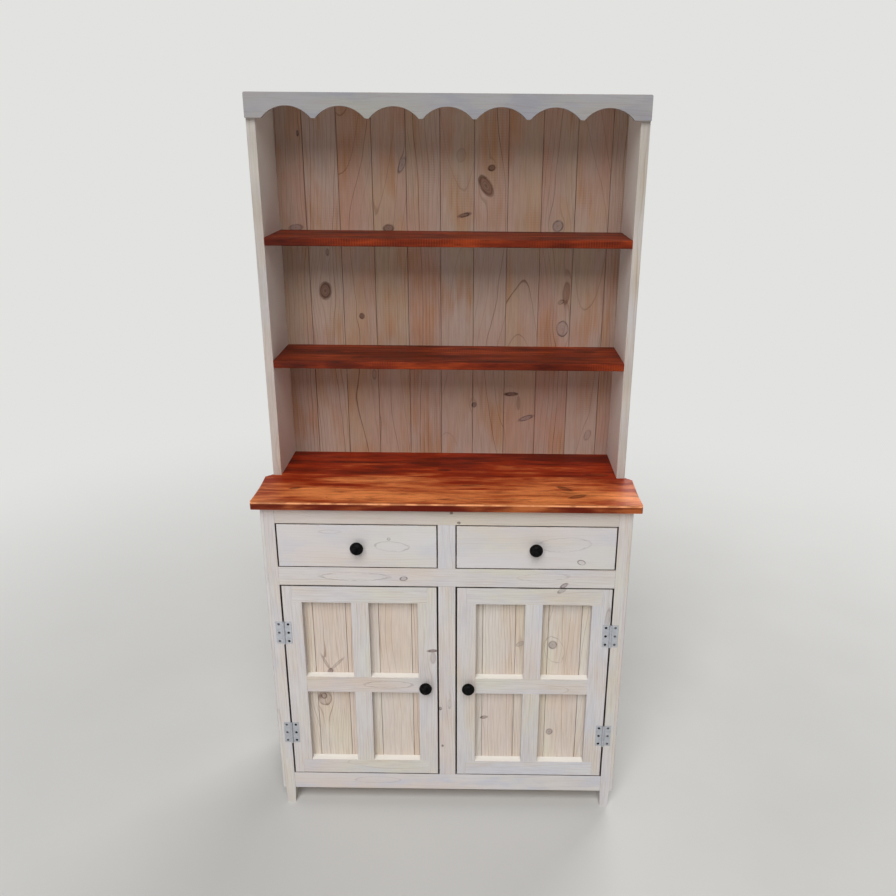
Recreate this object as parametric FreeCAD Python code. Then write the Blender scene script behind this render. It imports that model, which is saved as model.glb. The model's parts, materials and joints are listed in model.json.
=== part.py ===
import FreeCAD, Part
import math
import os

# Step back cupboard: a closed base with two drawers over two doors, and an open hutch set back on its
# worktop. X runs to the right seen from the front, Y runs back, Z up. In the functions below depths
# are counted back from the front face of the base (Y = 0) and heights from the floor. write() moves
# every piece so that the origin lies on the floor in the middle of the bounding box.
# The right-hand half is modelled, and the left-hand half is its mirror image.

# ---------------------------------------------------------------- driving dimensions, in millimetres
# Case
CASE_WIDTH = 900.0
CASE_DEPTH = 344.5            # front face to the rear faces of the rear legs
CASE_HEIGHT = 886.0           # floor to the underside of the worktop
LEG_WIDTH = 26.0
LEG_DEPTH = 70.0
FOOT_HEIGHT = 50.0
FOOT_SIDE_TAPER = 2.0         # taken off each side of the foot at the floor
FOOT_TOE_DEPTH = 19.0         # depth of the foot at the floor
CLADDING_THICKNESS = 7.5
CASE_CORNER_RADIUS = 5.0
BACK_BOARD_THICKNESS = 9.0
RAIL_THICKNESS = 20.0
DIVIDER_WIDTH = 43.0

# Heights of the front rails, lower and upper edge
BOTTOM_RAIL = (50.0, 100.0)
MIDDLE_RAIL = (675.0, 725.0)
TOP_RAIL = (843.0, 886.0)
FLOOR_BEARER = (50.0, 76.0)   # lower side rails and rear rail
SHELF_BEARER = (354.0, 380.0)
INNER_BOARD_THICKNESS = 16.0  # cupboard floor and cupboard shelf
SHELF_SETBACK = 50.0

# Worktop and hutch
WORKTOP_THICKNESS = 20.0
WORKTOP_OVERHANG = 18.0
WORKTOP_FRONT_CORNER = 4.0
WORKTOP_EAR_CORNER = 14.0
WORKTOP_ARRIS = 2.5
HUTCH_TOP = 1810.0
HUTCH_FRONT = 161.0
HUTCH_SIDE_THICKNESS = 21.0
HUTCH_TOP_THICKNESS = 20.0
SHELF_THICKNESS = 18.5
SHELF_HEIGHTS = {"upper_shelf": 1498.0, "lower_shelf": 1205.0}
HOUSING_DEPTH = 6.0
HOUSING_STOP = 10.0           # the housings stop this far short of the front edges
REBATE_WIDTH = 10.0
DOWEL_RADIUS = 4.0
DOWEL_IN_WORKTOP = 12.0
DOWEL_IN_SIDE = 24.0
DOWEL_DEPTHS = (200.0, 300.0)

# Valance
VALANCE_THICKNESS = 10.0
VALANCE_DROP = 53.5
VALANCE_CORNER = 4.0
SCALLOP_COUNT = 7
SCALLOP_PITCH = 119.3
SCALLOP_RISE = 25.5
SCALLOP_FLAT = 9.0            # width of the flat tip between two scallops

# Tongue-and-groove boards
BOARD_COVER = 84.0
BOARD_GAP = 0.4
BOARD_CHAMFER = 1.2
TONGUE_LENGTH = 6.0
TONGUE_FIT = 0.15
HUTCH_FIRST_SEAM = -362.0
SIDE_FIRST_SEAM = 46.25       # depth of the first seam in the side cladding

# Doors
DOOR_SIDE_GAP = 4.0
DOOR_TOP_GAP = 3.0
DOOR_BOTTOM_GAP = 2.0
DOOR_FRAME_THICKNESS = 22.0
DOOR_STILE = 48.0
DOOR_MUNTIN = 44.0
DOOR_TOP_RAIL = 46.0
DOOR_MIDDLE_RAIL = (361.0, 407.0)
DOOR_BOTTOM_RAIL = 43.0
DOOR_LAP = 24.0               # how far the top and bottom rails lap over the stiles
DOOR_BOARD_THICKNESS = 8.0
DOOR_BOARD_MARGIN = 10.0
DOOR_FIRST_SEAM = 91.0

# Drawers
DRAWER_GAP = 3.0
DRAWER_BOTTOM_GAP = 2.0
DRAWER_FRONT_THICKNESS = 22.0
DRAWER_SIDE_THICKNESS = 12.0
DRAWER_BOTTOM_THICKNESS = 6.0
DRAWER_BOTTOM_LIFT = 8.0      # underside of the bottom above the lower edge of the sides
DRAWER_BACK_SETBACK = 18.0
DRAWER_RUN_CLEARANCE = 0.3
DRAWER_GUIDE_CLEARANCE = 0.5
RUNNER_THICKNESS = 12.0
RUNNER_REACH = 20.5           # how far an outer runner reaches in from the leg
CENTRE_RUNNER_WIDTH = 88.0
GUIDE_HEIGHT = 20.0
GUIDE_START = 24.0
KICKER_THICKNESS = 16.0

# Knobs
KNOB_RADIUS = 16.5
KNOB_REACH = 28.5
KNOB_FOOT_RADIUS = 6.8
KNOB_CROWN_RADIUS = 30.0      # the dome on the front of the knob
KNOB_SCREW_RADIUS = 2.0
KNOB_SCREW_DEPTH = 16.0       # how far the screw enters the knob
DOOR_KNOB = (55.0, 385.0)
DRAWER_KNOB = (218.0, 785.0)

# Hinges
HINGE_HEIGHT = 63.0
HINGE_CENTRES = (538.5, 232.5)
LEAF_WIDTH = 20.0
LEAF_THICKNESS = 1.5
KNUCKLE_RADIUS = 3.0
KNUCKLE_GAP = 0.2
KNUCKLE_COUNT = 5
PIN_RADIUS = 1.5
PIN_FIT = 0.05
PIN_HEAD_RADIUS = 2.4
PIN_HEAD_HEIGHT = 1.0
LEAF_SCREW_OFFSET = 12.0
LEAF_SCREW_SPACING = 24.5
SCREW_RADIUS = 1.7
SCREW_HEAD_RADIUS = 3.4
SCREW_HEAD_DEPTH = 2.0
SCREW_LENGTH = 16.0

# Magnetic catches
CATCH_WIDTH = 36.0
CATCH_HEIGHT = 14.0
CATCH_LENGTH = 28.0
CATCH_X = 62.0
PLATE_THICKNESS = 1.2
CATCH_GAP = 0.2

# Joinery
TENON_THICKNESS = 8.0
RAIL_TENON = 15.0
STUB_TENON = 10.0
JOINT_GAP = 0.1
HOLE_GAP = 0.05

# ---------------------------------------------------------------------------------- derived places
SIDE = CASE_WIDTH / 2
LEG_OUTER = SIDE - CLADDING_THICKNESS
LEG_INNER = LEG_OUTER - LEG_WIDTH
DIVIDER = DIVIDER_WIDTH / 2
SIDE_RAIL_INNER = LEG_OUTER - RAIL_THICKNESS
REAR_RAIL_FRONT = CASE_DEPTH - RAIL_THICKNESS
FLOOR_TOP = FLOOR_BEARER[1] + INNER_BOARD_THICKNESS
SHELF_TOP = SHELF_BEARER[1] + INNER_BOARD_THICKNESS
OVERALL_DEPTH = CASE_DEPTH + BACK_BOARD_THICKNESS
ORIGIN_DEPTH = (OVERALL_DEPTH - KNOB_REACH) / 2

WORKTOP_TOP = CASE_HEIGHT + WORKTOP_THICKNESS
WORKTOP_BOARD = (CASE_DEPTH + WORKTOP_OVERHANG) / 4
WORKTOP_EAR_BACK = 2 * WORKTOP_BOARD - WORKTOP_OVERHANG
HUTCH_INNER = SIDE - HUTCH_SIDE_THICKNESS
VALANCE_BOTTOM = HUTCH_TOP - VALANCE_DROP

DOOR_IN = DIVIDER + DOOR_SIDE_GAP
DOOR_OUT = LEG_INNER - DOOR_SIDE_GAP
DOOR_LOW = BOTTOM_RAIL[1] + DOOR_BOTTOM_GAP
DOOR_HIGH = MIDDLE_RAIL[0] - DOOR_TOP_GAP
PANE_IN = DOOR_IN + DOOR_STILE
PANE_OUT = DOOR_OUT - DOOR_STILE
DOOR_MIDDLE = (DOOR_IN + DOOR_OUT) / 2
UPPER_PANE_TOP = DOOR_HIGH - DOOR_TOP_RAIL
LOWER_PANE_BOTTOM = DOOR_LOW + DOOR_BOTTOM_RAIL
DOOR_BACK = DOOR_FRAME_THICKNESS + DOOR_BOARD_THICKNESS

DRAWER_LOW = MIDDLE_RAIL[1] + DRAWER_BOTTOM_GAP
DRAWER_HIGH = TOP_RAIL[0] - DRAWER_GAP
DRAWER_IN = DIVIDER + DRAWER_GAP
DRAWER_OUT = LEG_INNER - DRAWER_GAP
BOX_IN = DRAWER_IN + DRAWER_GUIDE_CLEARANCE
BOX_OUT = DRAWER_OUT - 2 * DRAWER_GUIDE_CLEARANCE
BOX_LOW = MIDDLE_RAIL[1] + DRAWER_RUN_CLEARANCE
BOX_HIGH = DRAWER_HIGH - 4.0
BOX_END = CASE_DEPTH - DRAWER_RUN_CLEARANCE
REBATE_FRONT = DRAWER_FRONT_THICKNESS - 8.0   # the drawer sides lap 8 mm into the front
HINGE_AXIS = (DOOR_OUT + LEG_INNER) / 2

V = FreeCAD.Vector
UP = V(0, 0, 1)
BACKWARD = V(0, 1, 0)


# ------------------------------------------------------------------------------------------ helpers
def block(x, y, z):
    """A box from its lower and upper limits along each axis."""
    return Part.makeBox(x[1] - x[0], y[1] - y[0], z[1] - z[0], V(x[0], y[0], z[0]))


def grown(limits, gap=JOINT_GAP):
    """A mortise: the block of a tenon with clearance all round."""
    return block(*[(low - gap, high + gap) for low, high in limits])


def across(limits):
    """The same limits on the other side of X = 0."""
    (low, high), depth, height = limits
    return ((-high, -low), depth, height)


def mirrored(shape):
    return shape.mirror(V(0, 0, 0), V(1, 0, 0))


def joined(first, *others):
    return first.fuse(list(others)).removeSplitter()


def without(shape, *tools):
    for tool in tools:
        shape = shape.cut(tool)
    return shape


def extruded(points, along, length):
    outline = Part.makePolygon([V(*point) for point in points + points[:1]])
    return Part.Face(outline).extrude(along * length)


def turned(edges):
    """Turns a profile in the XY plane about the Y axis."""
    return Part.Face(Part.Wire(edges)).revolve(V(0, 0, 0), BACKWARD, 360)


def lines(points):
    return [Part.makeLine(V(*a), V(*b)) for a, b in zip(points, points[1:])]


def write(node, *solids):
    """Writes one node. Several solids stay separate pieces inside it."""
    shape = Part.makeCompound([solid.copy() for solid in solids])
    shape.translate(V(0, -ORIGIN_DEPTH, 0))
    if len(shape.Solids) == 1:
        shape = shape.Solids[0]
    shape.exportStep(f"parts/{node}.step")


def write_pair(node, solids):
    """Writes the right-hand node and its mirror image."""
    write(f"right_{node}", *solids)
    write(f"left_{node}", *[mirrored(solid) for solid in solids])


# ------------------------------------------------------------------------- tongue-and-groove boards
def seams(start, end, first):
    """Board edges from start to end, with the first seam given and one cover between seams."""
    edges = [start]
    seam = first
    while seam < end - BOARD_GAP:
        edges.append(seam)
        seam += BOARD_COVER
    return edges + [end]


def board_outline(left, right, thickness, grooved, tongued):
    third = thickness / 3
    front = [(left + BOARD_CHAMFER, 0, 0), (right - BOARD_CHAMFER, 0, 0), (right, BOARD_CHAMFER, 0)]
    tongue = [(right, third, 0), (right + TONGUE_LENGTH, third, 0),
              (right + TONGUE_LENGTH, 2 * third, 0), (right, 2 * third, 0)]
    back = [(right, thickness, 0), (left, thickness, 0)]
    groove_end = left + TONGUE_LENGTH + BOARD_GAP + TONGUE_FIT
    groove = [(left, 2 * third + TONGUE_FIT, 0), (groove_end, 2 * third + TONGUE_FIT, 0),
              (groove_end, third - TONGUE_FIT, 0), (left, third - TONGUE_FIT, 0)]
    return front + tongued * tongue + back + grooved * groove + [(left, BOARD_CHAMFER, 0)]


def boards(edges, thickness, heights):
    """Upright boards side by side along X, with their faces at Y = 0 and their backs behind."""
    result = []
    for left, right in zip(edges, edges[1:]):
        grooved = left != edges[0]
        tongued = right != edges[-1]
        outline = board_outline(left + grooved * BOARD_GAP / 2, right - tongued * BOARD_GAP / 2,
                                thickness, grooved, tongued)
        board = extruded(outline, UP, heights[1] - heights[0])
        board.translate(V(0, 0, heights[0]))
        result.append(board)
    return result


def moved_back(solids, depth):
    for solid in solids:
        solid.translate(V(0, depth, 0))
    return solids


# -------------------------------------------------------------------------------------- case frame
def tenon_heights(heights):
    return (heights[0] + TENON_THICKNESS, heights[1] - TENON_THICKNESS)


def rail_tenon(heights, front):
    """The tenon at the right-hand end of a rail that runs between two legs."""
    middle = front + RAIL_THICKNESS / 2
    depths = (middle - TENON_THICKNESS / 2, middle + TENON_THICKNESS / 2)
    return ((LEG_INNER, LEG_INNER + RAIL_TENON), depths, tenon_heights(heights))


def cross_rail(heights, front):
    tenon = rail_tenon(heights, front)
    body = block((-LEG_INNER, LEG_INNER), (front, front + RAIL_THICKNESS), heights)
    return joined(body, block(*tenon), block(*across(tenon)))


def side_rail_tenon(heights, at_back):
    middle = SIDE_RAIL_INNER + RAIL_THICKNESS / 2
    widths = (middle - TENON_THICKNESS / 2, middle + TENON_THICKNESS / 2)
    depths = (LEG_DEPTH - RAIL_TENON, LEG_DEPTH)
    if at_back:
        depths = (CASE_DEPTH - LEG_DEPTH, CASE_DEPTH - LEG_DEPTH + RAIL_TENON)
    return (widths, depths, tenon_heights(heights))


def side_rail(heights):
    body = block((SIDE_RAIL_INNER, LEG_OUTER), (LEG_DEPTH, CASE_DEPTH - LEG_DEPTH), heights)
    return joined(body, block(*side_rail_tenon(heights, False)), block(*side_rail_tenon(heights, True)))


def divider_tenon(height, upward):
    heights = (height, height + STUB_TENON) if upward else (height - STUB_TENON, height)
    middle = RAIL_THICKNESS / 2
    depths = (middle - TENON_THICKNESS / 2, middle + TENON_THICKNESS / 2)
    return ((-DIVIDER + TENON_THICKNESS, DIVIDER - TENON_THICKNESS), depths, heights)


def divider(low, high):
    body = block((-DIVIDER, DIVIDER), (0, RAIL_THICKNESS), (low, high))
    return joined(body, block(*divider_tenon(high, True)), block(*divider_tenon(low, False)))


def foot():
    """The foot under a front leg: upright in front, sloping behind, and a little narrower below."""
    rings = []
    for height, taper, depth in ((0, FOOT_SIDE_TAPER, FOOT_TOE_DEPTH), (FOOT_HEIGHT, 0, LEG_DEPTH)):
        left = LEG_INNER + taper
        right = LEG_OUTER - taper
        corners = [V(left, 0, height), V(right, 0, height), V(right, depth, height), V(left, depth, height)]
        rings.append(Part.makePolygon(corners + corners[:1]))
    return Part.makeLoft(rings, True, True)


def leg(at_back):
    body = joined(block((LEG_INNER, LEG_OUTER), (0, LEG_DEPTH), (FOOT_HEIGHT, CASE_HEIGHT)), foot())
    if at_back:
        body = body.mirror(V(0, CASE_DEPTH / 2, 0), BACKWARD)
    front = REAR_RAIL_FRONT if at_back else 0
    lowest = FLOOR_BEARER if at_back else BOTTOM_RAIL
    mortises = [grown(rail_tenon(heights, front)) for heights in (lowest, MIDDLE_RAIL, TOP_RAIL)]
    for heights in (FLOOR_BEARER, SHELF_BEARER, TOP_RAIL):
        mortises.append(grown(side_rail_tenon(heights, at_back)))
    if not at_back:
        mortises += leaf_screws(1, HOLE_GAP)
    return without(body, *mortises)


def side_cladding():
    """Boards planted on the outside of the legs, with the lower corners of the case rounded."""
    edges = [-edge for edge in reversed(seams(0, CASE_DEPTH, SIDE_FIRST_SEAM))]
    envelope = block((-SIDE, SIDE), (0, CASE_DEPTH), (BOTTOM_RAIL[0], CASE_HEIGHT))
    corners = [edge for edge in envelope.Edges
               if abs(edge.CenterOfMass.x) == SIDE and edge.CenterOfMass.z == BOTTOM_RAIL[0]]
    envelope = envelope.makeFillet(CASE_CORNER_RADIUS, corners)
    result = []
    for board in boards(edges, CLADDING_THICKNESS, (BOTTOM_RAIL[0], CASE_HEIGHT)):
        board.rotate(V(0, 0, 0), UP, -90)
        board.translate(V(-SIDE, 0, 0))
        result.append(mirrored(board).common(envelope))
    return result


def inner_board(top, front):
    """Cupboard floor or shelf: it runs between the legs and rests on the side rails."""
    heights = (top - INNER_BOARD_THICKNESS, top)
    fit = 2 * JOINT_GAP
    main = block((-LEG_INNER + fit, LEG_INNER - fit), (front, CASE_DEPTH), heights)
    between_legs = (LEG_DEPTH + fit, CASE_DEPTH - LEG_DEPTH - fit)
    ends = block((-LEG_OUTER + fit, LEG_OUTER - fit), between_legs, heights)
    return joined(main, ends)


def outer_runner():
    """Carries the outer side of a drawer, with a strip on top that guides it."""
    top = MIDDLE_RAIL[1]
    ledge = block((LEG_INNER - RUNNER_REACH, LEG_INNER), (RAIL_THICKNESS, REAR_RAIL_FRONT),
                  (top - RUNNER_THICKNESS, top))
    guide = block((BOX_OUT + DRAWER_GUIDE_CLEARANCE, LEG_INNER), (GUIDE_START, REAR_RAIL_FRONT),
                  (top - RUNNER_THICKNESS, top + GUIDE_HEIGHT))
    return joined(ledge, guide)


def centre_runner():
    """Carries the inner sides of both drawers, with a guide between them."""
    top = MIDDLE_RAIL[1]
    ledge = block((-CENTRE_RUNNER_WIDTH / 2, CENTRE_RUNNER_WIDTH / 2), (RAIL_THICKNESS, REAR_RAIL_FRONT),
                  (top - RUNNER_THICKNESS, top))
    half = BOX_IN - DRAWER_GUIDE_CLEARANCE
    guide = block((-half, half), (GUIDE_START, REAR_RAIL_FRONT), (top - RUNNER_THICKNESS, top + GUIDE_HEIGHT))
    return joined(ledge, guide)


def kickers():
    """Strips above the drawer sides that stop a drawer tipping when it is pulled out."""
    heights = (TOP_RAIL[0] + DRAWER_RUN_CLEARANCE, TOP_RAIL[0] + DRAWER_RUN_CLEARANCE + KICKER_THICKNESS)
    depths = (RAIL_THICKNESS, REAR_RAIL_FRONT)
    outer = block((LEG_INNER - RUNNER_REACH, LEG_INNER), depths, heights)
    middle = block((-CENTRE_RUNNER_WIDTH / 2, CENTRE_RUNNER_WIDTH / 2), depths, heights)
    return [outer, middle, mirrored(outer)]


def write_case():
    front_leg = leg(False)
    rear_leg = leg(True)
    write("front_legs", front_leg, mirrored(front_leg))
    write("rear_legs", rear_leg, mirrored(rear_leg))

    side_rails = [side_rail(heights) for heights in (FLOOR_BEARER, SHELF_BEARER, TOP_RAIL)]
    write("side_rails", *side_rails, *[mirrored(rail) for rail in side_rails])
    rear_rails = [cross_rail(heights, REAR_RAIL_FRONT) for heights in (FLOOR_BEARER, MIDDLE_RAIL, TOP_RAIL)]
    write("rear_rails", *rear_rails)

    from_below = {height: grown(divider_tenon(height, True)) for height in (TOP_RAIL[0], MIDDLE_RAIL[0])}
    from_above = {height: grown(divider_tenon(height, False)) for height in (MIDDLE_RAIL[1], BOTTOM_RAIL[1])}
    write("front_top_rail", without(cross_rail(TOP_RAIL, 0), from_below[TOP_RAIL[0]]))
    write("front_middle_rail", without(cross_rail(MIDDLE_RAIL, 0), from_below[MIDDLE_RAIL[0]],
                                       from_above[MIDDLE_RAIL[1]]))
    write("front_bottom_rail", without(cross_rail(BOTTOM_RAIL, 0), from_above[BOTTOM_RAIL[1]]))
    write("drawer_divider", divider(MIDDLE_RAIL[1], TOP_RAIL[0]))
    write("door_divider", divider(BOTTOM_RAIL[1], MIDDLE_RAIL[0]))

    write_pair("side_boards", side_cladding())
    edges = seams(-SIDE, SIDE, HUTCH_FIRST_SEAM)
    back = boards(edges, BACK_BOARD_THICKNESS, (BOTTOM_RAIL[0], CASE_HEIGHT))
    write("base_back_boards", *moved_back(back, CASE_DEPTH))

    write("cupboard_floor", inner_board(FLOOR_TOP, RAIL_THICKNESS))
    write("cupboard_shelf", inner_board(SHELF_TOP, SHELF_SETBACK))
    write("outer_drawer_runners", outer_runner(), mirrored(outer_runner()))
    write("centre_drawer_runner", centre_runner())
    write("drawer_kickers", *kickers())


# ------------------------------------------------------------------------------- worktop and hutch
def worktop_front():
    """The two longer front boards in one piece, with rounded corners and a rounded top edge."""
    reach = SIDE + WORKTOP_OVERHANG
    slab = block((-reach, reach), (-WORKTOP_OVERHANG, WORKTOP_EAR_BACK), (CASE_HEIGHT, WORKTOP_TOP))
    for radius, depth in ((WORKTOP_FRONT_CORNER, -WORKTOP_OVERHANG), (WORKTOP_EAR_CORNER, WORKTOP_EAR_BACK)):
        corners = [edge for edge in slab.Edges
                   if abs(abs(edge.CenterOfMass.x) - reach) < 0.01 and abs(edge.CenterOfMass.y - depth) < 0.01
                   and abs(edge.Length - WORKTOP_THICKNESS) < 0.01]
        slab = slab.makeFillet(radius, corners)
    top_edges = [edge for edge in slab.Edges
                 if abs(edge.CenterOfMass.z - WORKTOP_TOP) < 0.01
                 and edge.CenterOfMass.y < WORKTOP_EAR_BACK - WORKTOP_EAR_CORNER]
    return slab.makeFillet(WORKTOP_ARRIS, top_edges)


def worktop_strip(index):
    """The stretch of depth that one worktop board covers."""
    low = index * WORKTOP_BOARD - WORKTOP_OVERHANG
    return (low, low + WORKTOP_BOARD)


def dowels():
    heights = DOWEL_IN_WORKTOP + DOWEL_IN_SIDE
    x = SIDE - HUTCH_SIDE_THICKNESS / 2
    base = WORKTOP_TOP - DOWEL_IN_WORKTOP
    return [Part.makeCylinder(DOWEL_RADIUS, heights, V(side * x, depth, base))
            for side in (-1, 1) for depth in DOWEL_DEPTHS]


def dowel_holes():
    x = SIDE - HUTCH_SIDE_THICKNESS / 2
    base = WORKTOP_TOP - DOWEL_IN_WORKTOP - JOINT_GAP
    height = DOWEL_IN_WORKTOP + DOWEL_IN_SIDE + 2 * JOINT_GAP
    return [Part.makeCylinder(DOWEL_RADIUS + HOLE_GAP, height, V(side * x, depth, base))
            for side in (-1, 1) for depth in DOWEL_DEPTHS]


def worktop_boards():
    front = worktop_front()
    wide = (-CASE_WIDTH, CASE_WIDTH)
    heights = (CASE_HEIGHT, WORKTOP_TOP)
    longer = [front.common(block(wide, worktop_strip(index), heights)) for index in (0, 1)]
    shorter = [block((-SIDE, SIDE), worktop_strip(index), heights) for index in (2, 3)]
    return longer, [without(board, *dowel_holes()) for board in shorter]


def shelf(top, gap=0.0):
    """A shelf whose ends enter the sides, except for the last stretch at the front."""
    heights = (top - SHELF_THICKNESS - gap, top + gap)
    between = block((-HUTCH_INNER, HUTCH_INNER), (HUTCH_FRONT, CASE_DEPTH), heights)
    reach = HUTCH_INNER + HOUSING_DEPTH + gap
    housed = block((-reach, reach), (HUTCH_FRONT + HOUSING_STOP - gap, CASE_DEPTH), heights)
    return joined(between, housed)


def hutch_side():
    body = block((HUTCH_INNER, SIDE), (HUTCH_FRONT, OVERALL_DEPTH), (WORKTOP_TOP, HUTCH_TOP))
    rebate = block((HUTCH_INNER, HUTCH_INNER + REBATE_WIDTH), (CASE_DEPTH, OVERALL_DEPTH),
                   (WORKTOP_TOP, HUTCH_TOP))
    housings = [shelf(top, JOINT_GAP) for top in SHELF_HEIGHTS.values()]
    return without(body, rebate, *housings, *dowel_holes())


def scallop_edges(left, bottom):
    """One scallop from its left-hand tip: a flat half tip, an arc, and another half tip."""
    start = left + SCALLOP_FLAT / 2
    end = left + SCALLOP_PITCH - SCALLOP_FLAT / 2
    crown = V((start + end) / 2, 0, bottom + SCALLOP_RISE)
    return [Part.makeLine(V(left, 0, bottom), V(start, 0, bottom)),
            Part.Arc(V(start, 0, bottom), crown, V(end, 0, bottom)).toShape(),
            Part.makeLine(V(end, 0, bottom), V(left + SCALLOP_PITCH, 0, bottom))]


def valance():
    """The scalloped board on the front edges of the hutch sides."""
    first = -SCALLOP_COUNT * SCALLOP_PITCH / 2
    low = VALANCE_BOTTOM
    edges = [Part.makeLine(V(-SIDE, 0, low), V(first, 0, low))]
    for index in range(SCALLOP_COUNT):
        edges += scallop_edges(first + index * SCALLOP_PITCH, low)
    edges += lines([(-first, 0, low), (SIDE, 0, low), (SIDE, 0, HUTCH_TOP), (-SIDE, 0, HUTCH_TOP),
                    (-SIDE, 0, low)])
    body = Part.Face(Part.Wire(edges)).extrude(BACKWARD * VALANCE_THICKNESS)
    corners = [edge for edge in body.Edges
               if abs(edge.CenterOfMass.z - HUTCH_TOP) < 0.01 and abs(edge.Length - VALANCE_THICKNESS) < 0.01]
    body = body.makeFillet(VALANCE_CORNER, corners)
    body.translate(V(0, HUTCH_FRONT - VALANCE_THICKNESS, 0))
    return body


def write_worktop_and_hutch():
    longer, shorter = worktop_boards()
    write("worktop_front_boards", *longer)
    write("worktop_rear_boards", *shorter)
    write_pair("hutch_side", [hutch_side()])
    write("hutch_dowels", *dowels())
    write("hutch_top", block((-HUTCH_INNER, HUTCH_INNER), (HUTCH_FRONT, CASE_DEPTH),
                             (HUTCH_TOP - HUTCH_TOP_THICKNESS, HUTCH_TOP)))
    write("valance", valance())
    for node, top in SHELF_HEIGHTS.items():
        write(node, shelf(top))
    reach = HUTCH_INNER + REBATE_WIDTH - JOINT_GAP
    back = boards(seams(-reach, reach, HUTCH_FIRST_SEAM), BACK_BOARD_THICKNESS, (CASE_HEIGHT, HUTCH_TOP))
    write("hutch_back_boards", *moved_back(back, CASE_DEPTH))


# ------------------------------------------------------------------------------------ knobs, screws
def crown_point(radius):
    """A point on the dome of a knob: its distance from the knob's axis and from the wood."""
    drop = KNOB_CROWN_RADIUS - math.sqrt(KNOB_CROWN_RADIUS ** 2 - radius ** 2)
    return (radius, KNOB_REACH - drop)


def knob(place):
    """A turned knob: a small foot, a waist, and a wide rounded head."""
    foot_height = 2.0
    waist = (5.8, 4.6)
    flare_start = (7.6, 8.0)
    flare_middle = (13.4, 10.8)
    rim = (KNOB_RADIUS, 16.6)
    shoulder = (14.6, 23.0)
    crown_edge = crown_point(8.5)
    edges = lines([(0, 0, 0), (KNOB_FOOT_RADIUS, 0, 0), (KNOB_FOOT_RADIUS, -foot_height, 0)])
    arcs = [((KNOB_FOOT_RADIUS, foot_height), waist, flare_start),
            (flare_start, flare_middle, rim),
            (rim, shoulder, crown_edge),
            (crown_edge, crown_point(4.4), crown_point(0))]
    for points in arcs:
        edges.append(Part.Arc(*[V(radius, -reach, 0) for radius, reach in points]).toShape())
    edges += lines([(0, -KNOB_REACH, 0), (0, 0, 0)])
    depth = KNOB_SCREW_DEPTH + JOINT_GAP
    hole = Part.makeCylinder(KNOB_SCREW_RADIUS + HOLE_GAP, depth, V(0, 0, 0), -BACKWARD)
    body = without(turned(edges), hole)
    body.translate(V(place[0], 0, place[1]))
    return body


def knob_screw(place, back_face, gap=0.0):
    """A pan-headed screw from the inside face, through the wood and into the knob."""
    head_radius = 2 * KNOB_SCREW_RADIUS
    head_height = 2.5
    centre = V(place[0], -KNOB_SCREW_DEPTH, place[1])
    shank = Part.makeCylinder(KNOB_SCREW_RADIUS + gap, back_face + KNOB_SCREW_DEPTH, centre, BACKWARD)
    head = Part.makeCylinder(head_radius, head_height, V(place[0], back_face, place[1]), BACKWARD)
    return joined(shank, head)


def countersunk_screw(gap=0.0):
    """A wood screw pointing along Y, with the top of its head at the origin."""
    shank = SCREW_RADIUS + gap
    head = SCREW_HEAD_RADIUS + gap
    end = SCREW_LENGTH + gap
    return turned(lines([(0, 0, 0), (head, 0, 0), (shank, SCREW_HEAD_DEPTH, 0),
                         (shank, end - 2 * SCREW_RADIUS, 0), (0, end, 0), (0, 0, 0)]))


# --------------------------------------------------------------------------------------- hinges
def leaf_screws(toward, gap=0.0):
    """Screws of both hinges: toward = 1 for the leaves on the leg, -1 for those on the door."""
    result = []
    for centre in HINGE_CENTRES:
        for step in (-1, 0, 1):
            screw = countersunk_screw(gap)
            screw.translate(V(HINGE_AXIS + toward * LEAF_SCREW_OFFSET, -LEAF_THICKNESS,
                              centre + step * LEAF_SCREW_SPACING))
            result.append(screw)
    return result


def hinge_leaf(centre, toward, knuckles):
    """A flat leaf on the face of the wood, with its share of the knuckles around the pin."""
    bottom = centre - HINGE_HEIGHT / 2
    near = HINGE_AXIS + toward * (KNUCKLE_RADIUS + 2 * KNUCKLE_GAP)
    far = HINGE_AXIS + toward * LEAF_WIDTH
    flat = (-LEAF_THICKNESS, 0)
    leaf = block(sorted((near, far)), flat, (bottom, bottom + HINGE_HEIGHT))
    pitch = HINGE_HEIGHT / KNUCKLE_COUNT
    for index in knuckles:
        low = bottom + index * pitch + KNUCKLE_GAP / 2
        high = bottom + (index + 1) * pitch - KNUCKLE_GAP / 2
        barrel = Part.makeCylinder(KNUCKLE_RADIUS, high - low, V(HINGE_AXIS, -KNUCKLE_RADIUS, low))
        strap = block(sorted((HINGE_AXIS, near)), flat, (low, high))
        leaf = joined(leaf, barrel, strap)
    bore = Part.makeCylinder(PIN_RADIUS + PIN_FIT, 2 * HINGE_HEIGHT, V(HINGE_AXIS, -KNUCKLE_RADIUS,
                                                                      centre - HINGE_HEIGHT))
    return without(leaf, bore, *leaf_screws(toward, HOLE_GAP))


def hinge_pin(centre):
    """The pin, with a small head beyond the knuckles at each end."""
    length = HINGE_HEIGHT - KNUCKLE_GAP
    low = centre - length / 2
    pin = Part.makeCylinder(PIN_RADIUS, length, V(HINGE_AXIS, -KNUCKLE_RADIUS, low))
    foot_head = Part.makeCylinder(PIN_HEAD_RADIUS, PIN_HEAD_HEIGHT,
                                  V(HINGE_AXIS, -KNUCKLE_RADIUS, low - PIN_HEAD_HEIGHT))
    top_head = Part.makeCylinder(PIN_HEAD_RADIUS, PIN_HEAD_HEIGHT,
                                 V(HINGE_AXIS, -KNUCKLE_RADIUS, low + length))
    return joined(pin, foot_head, top_head)


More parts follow.
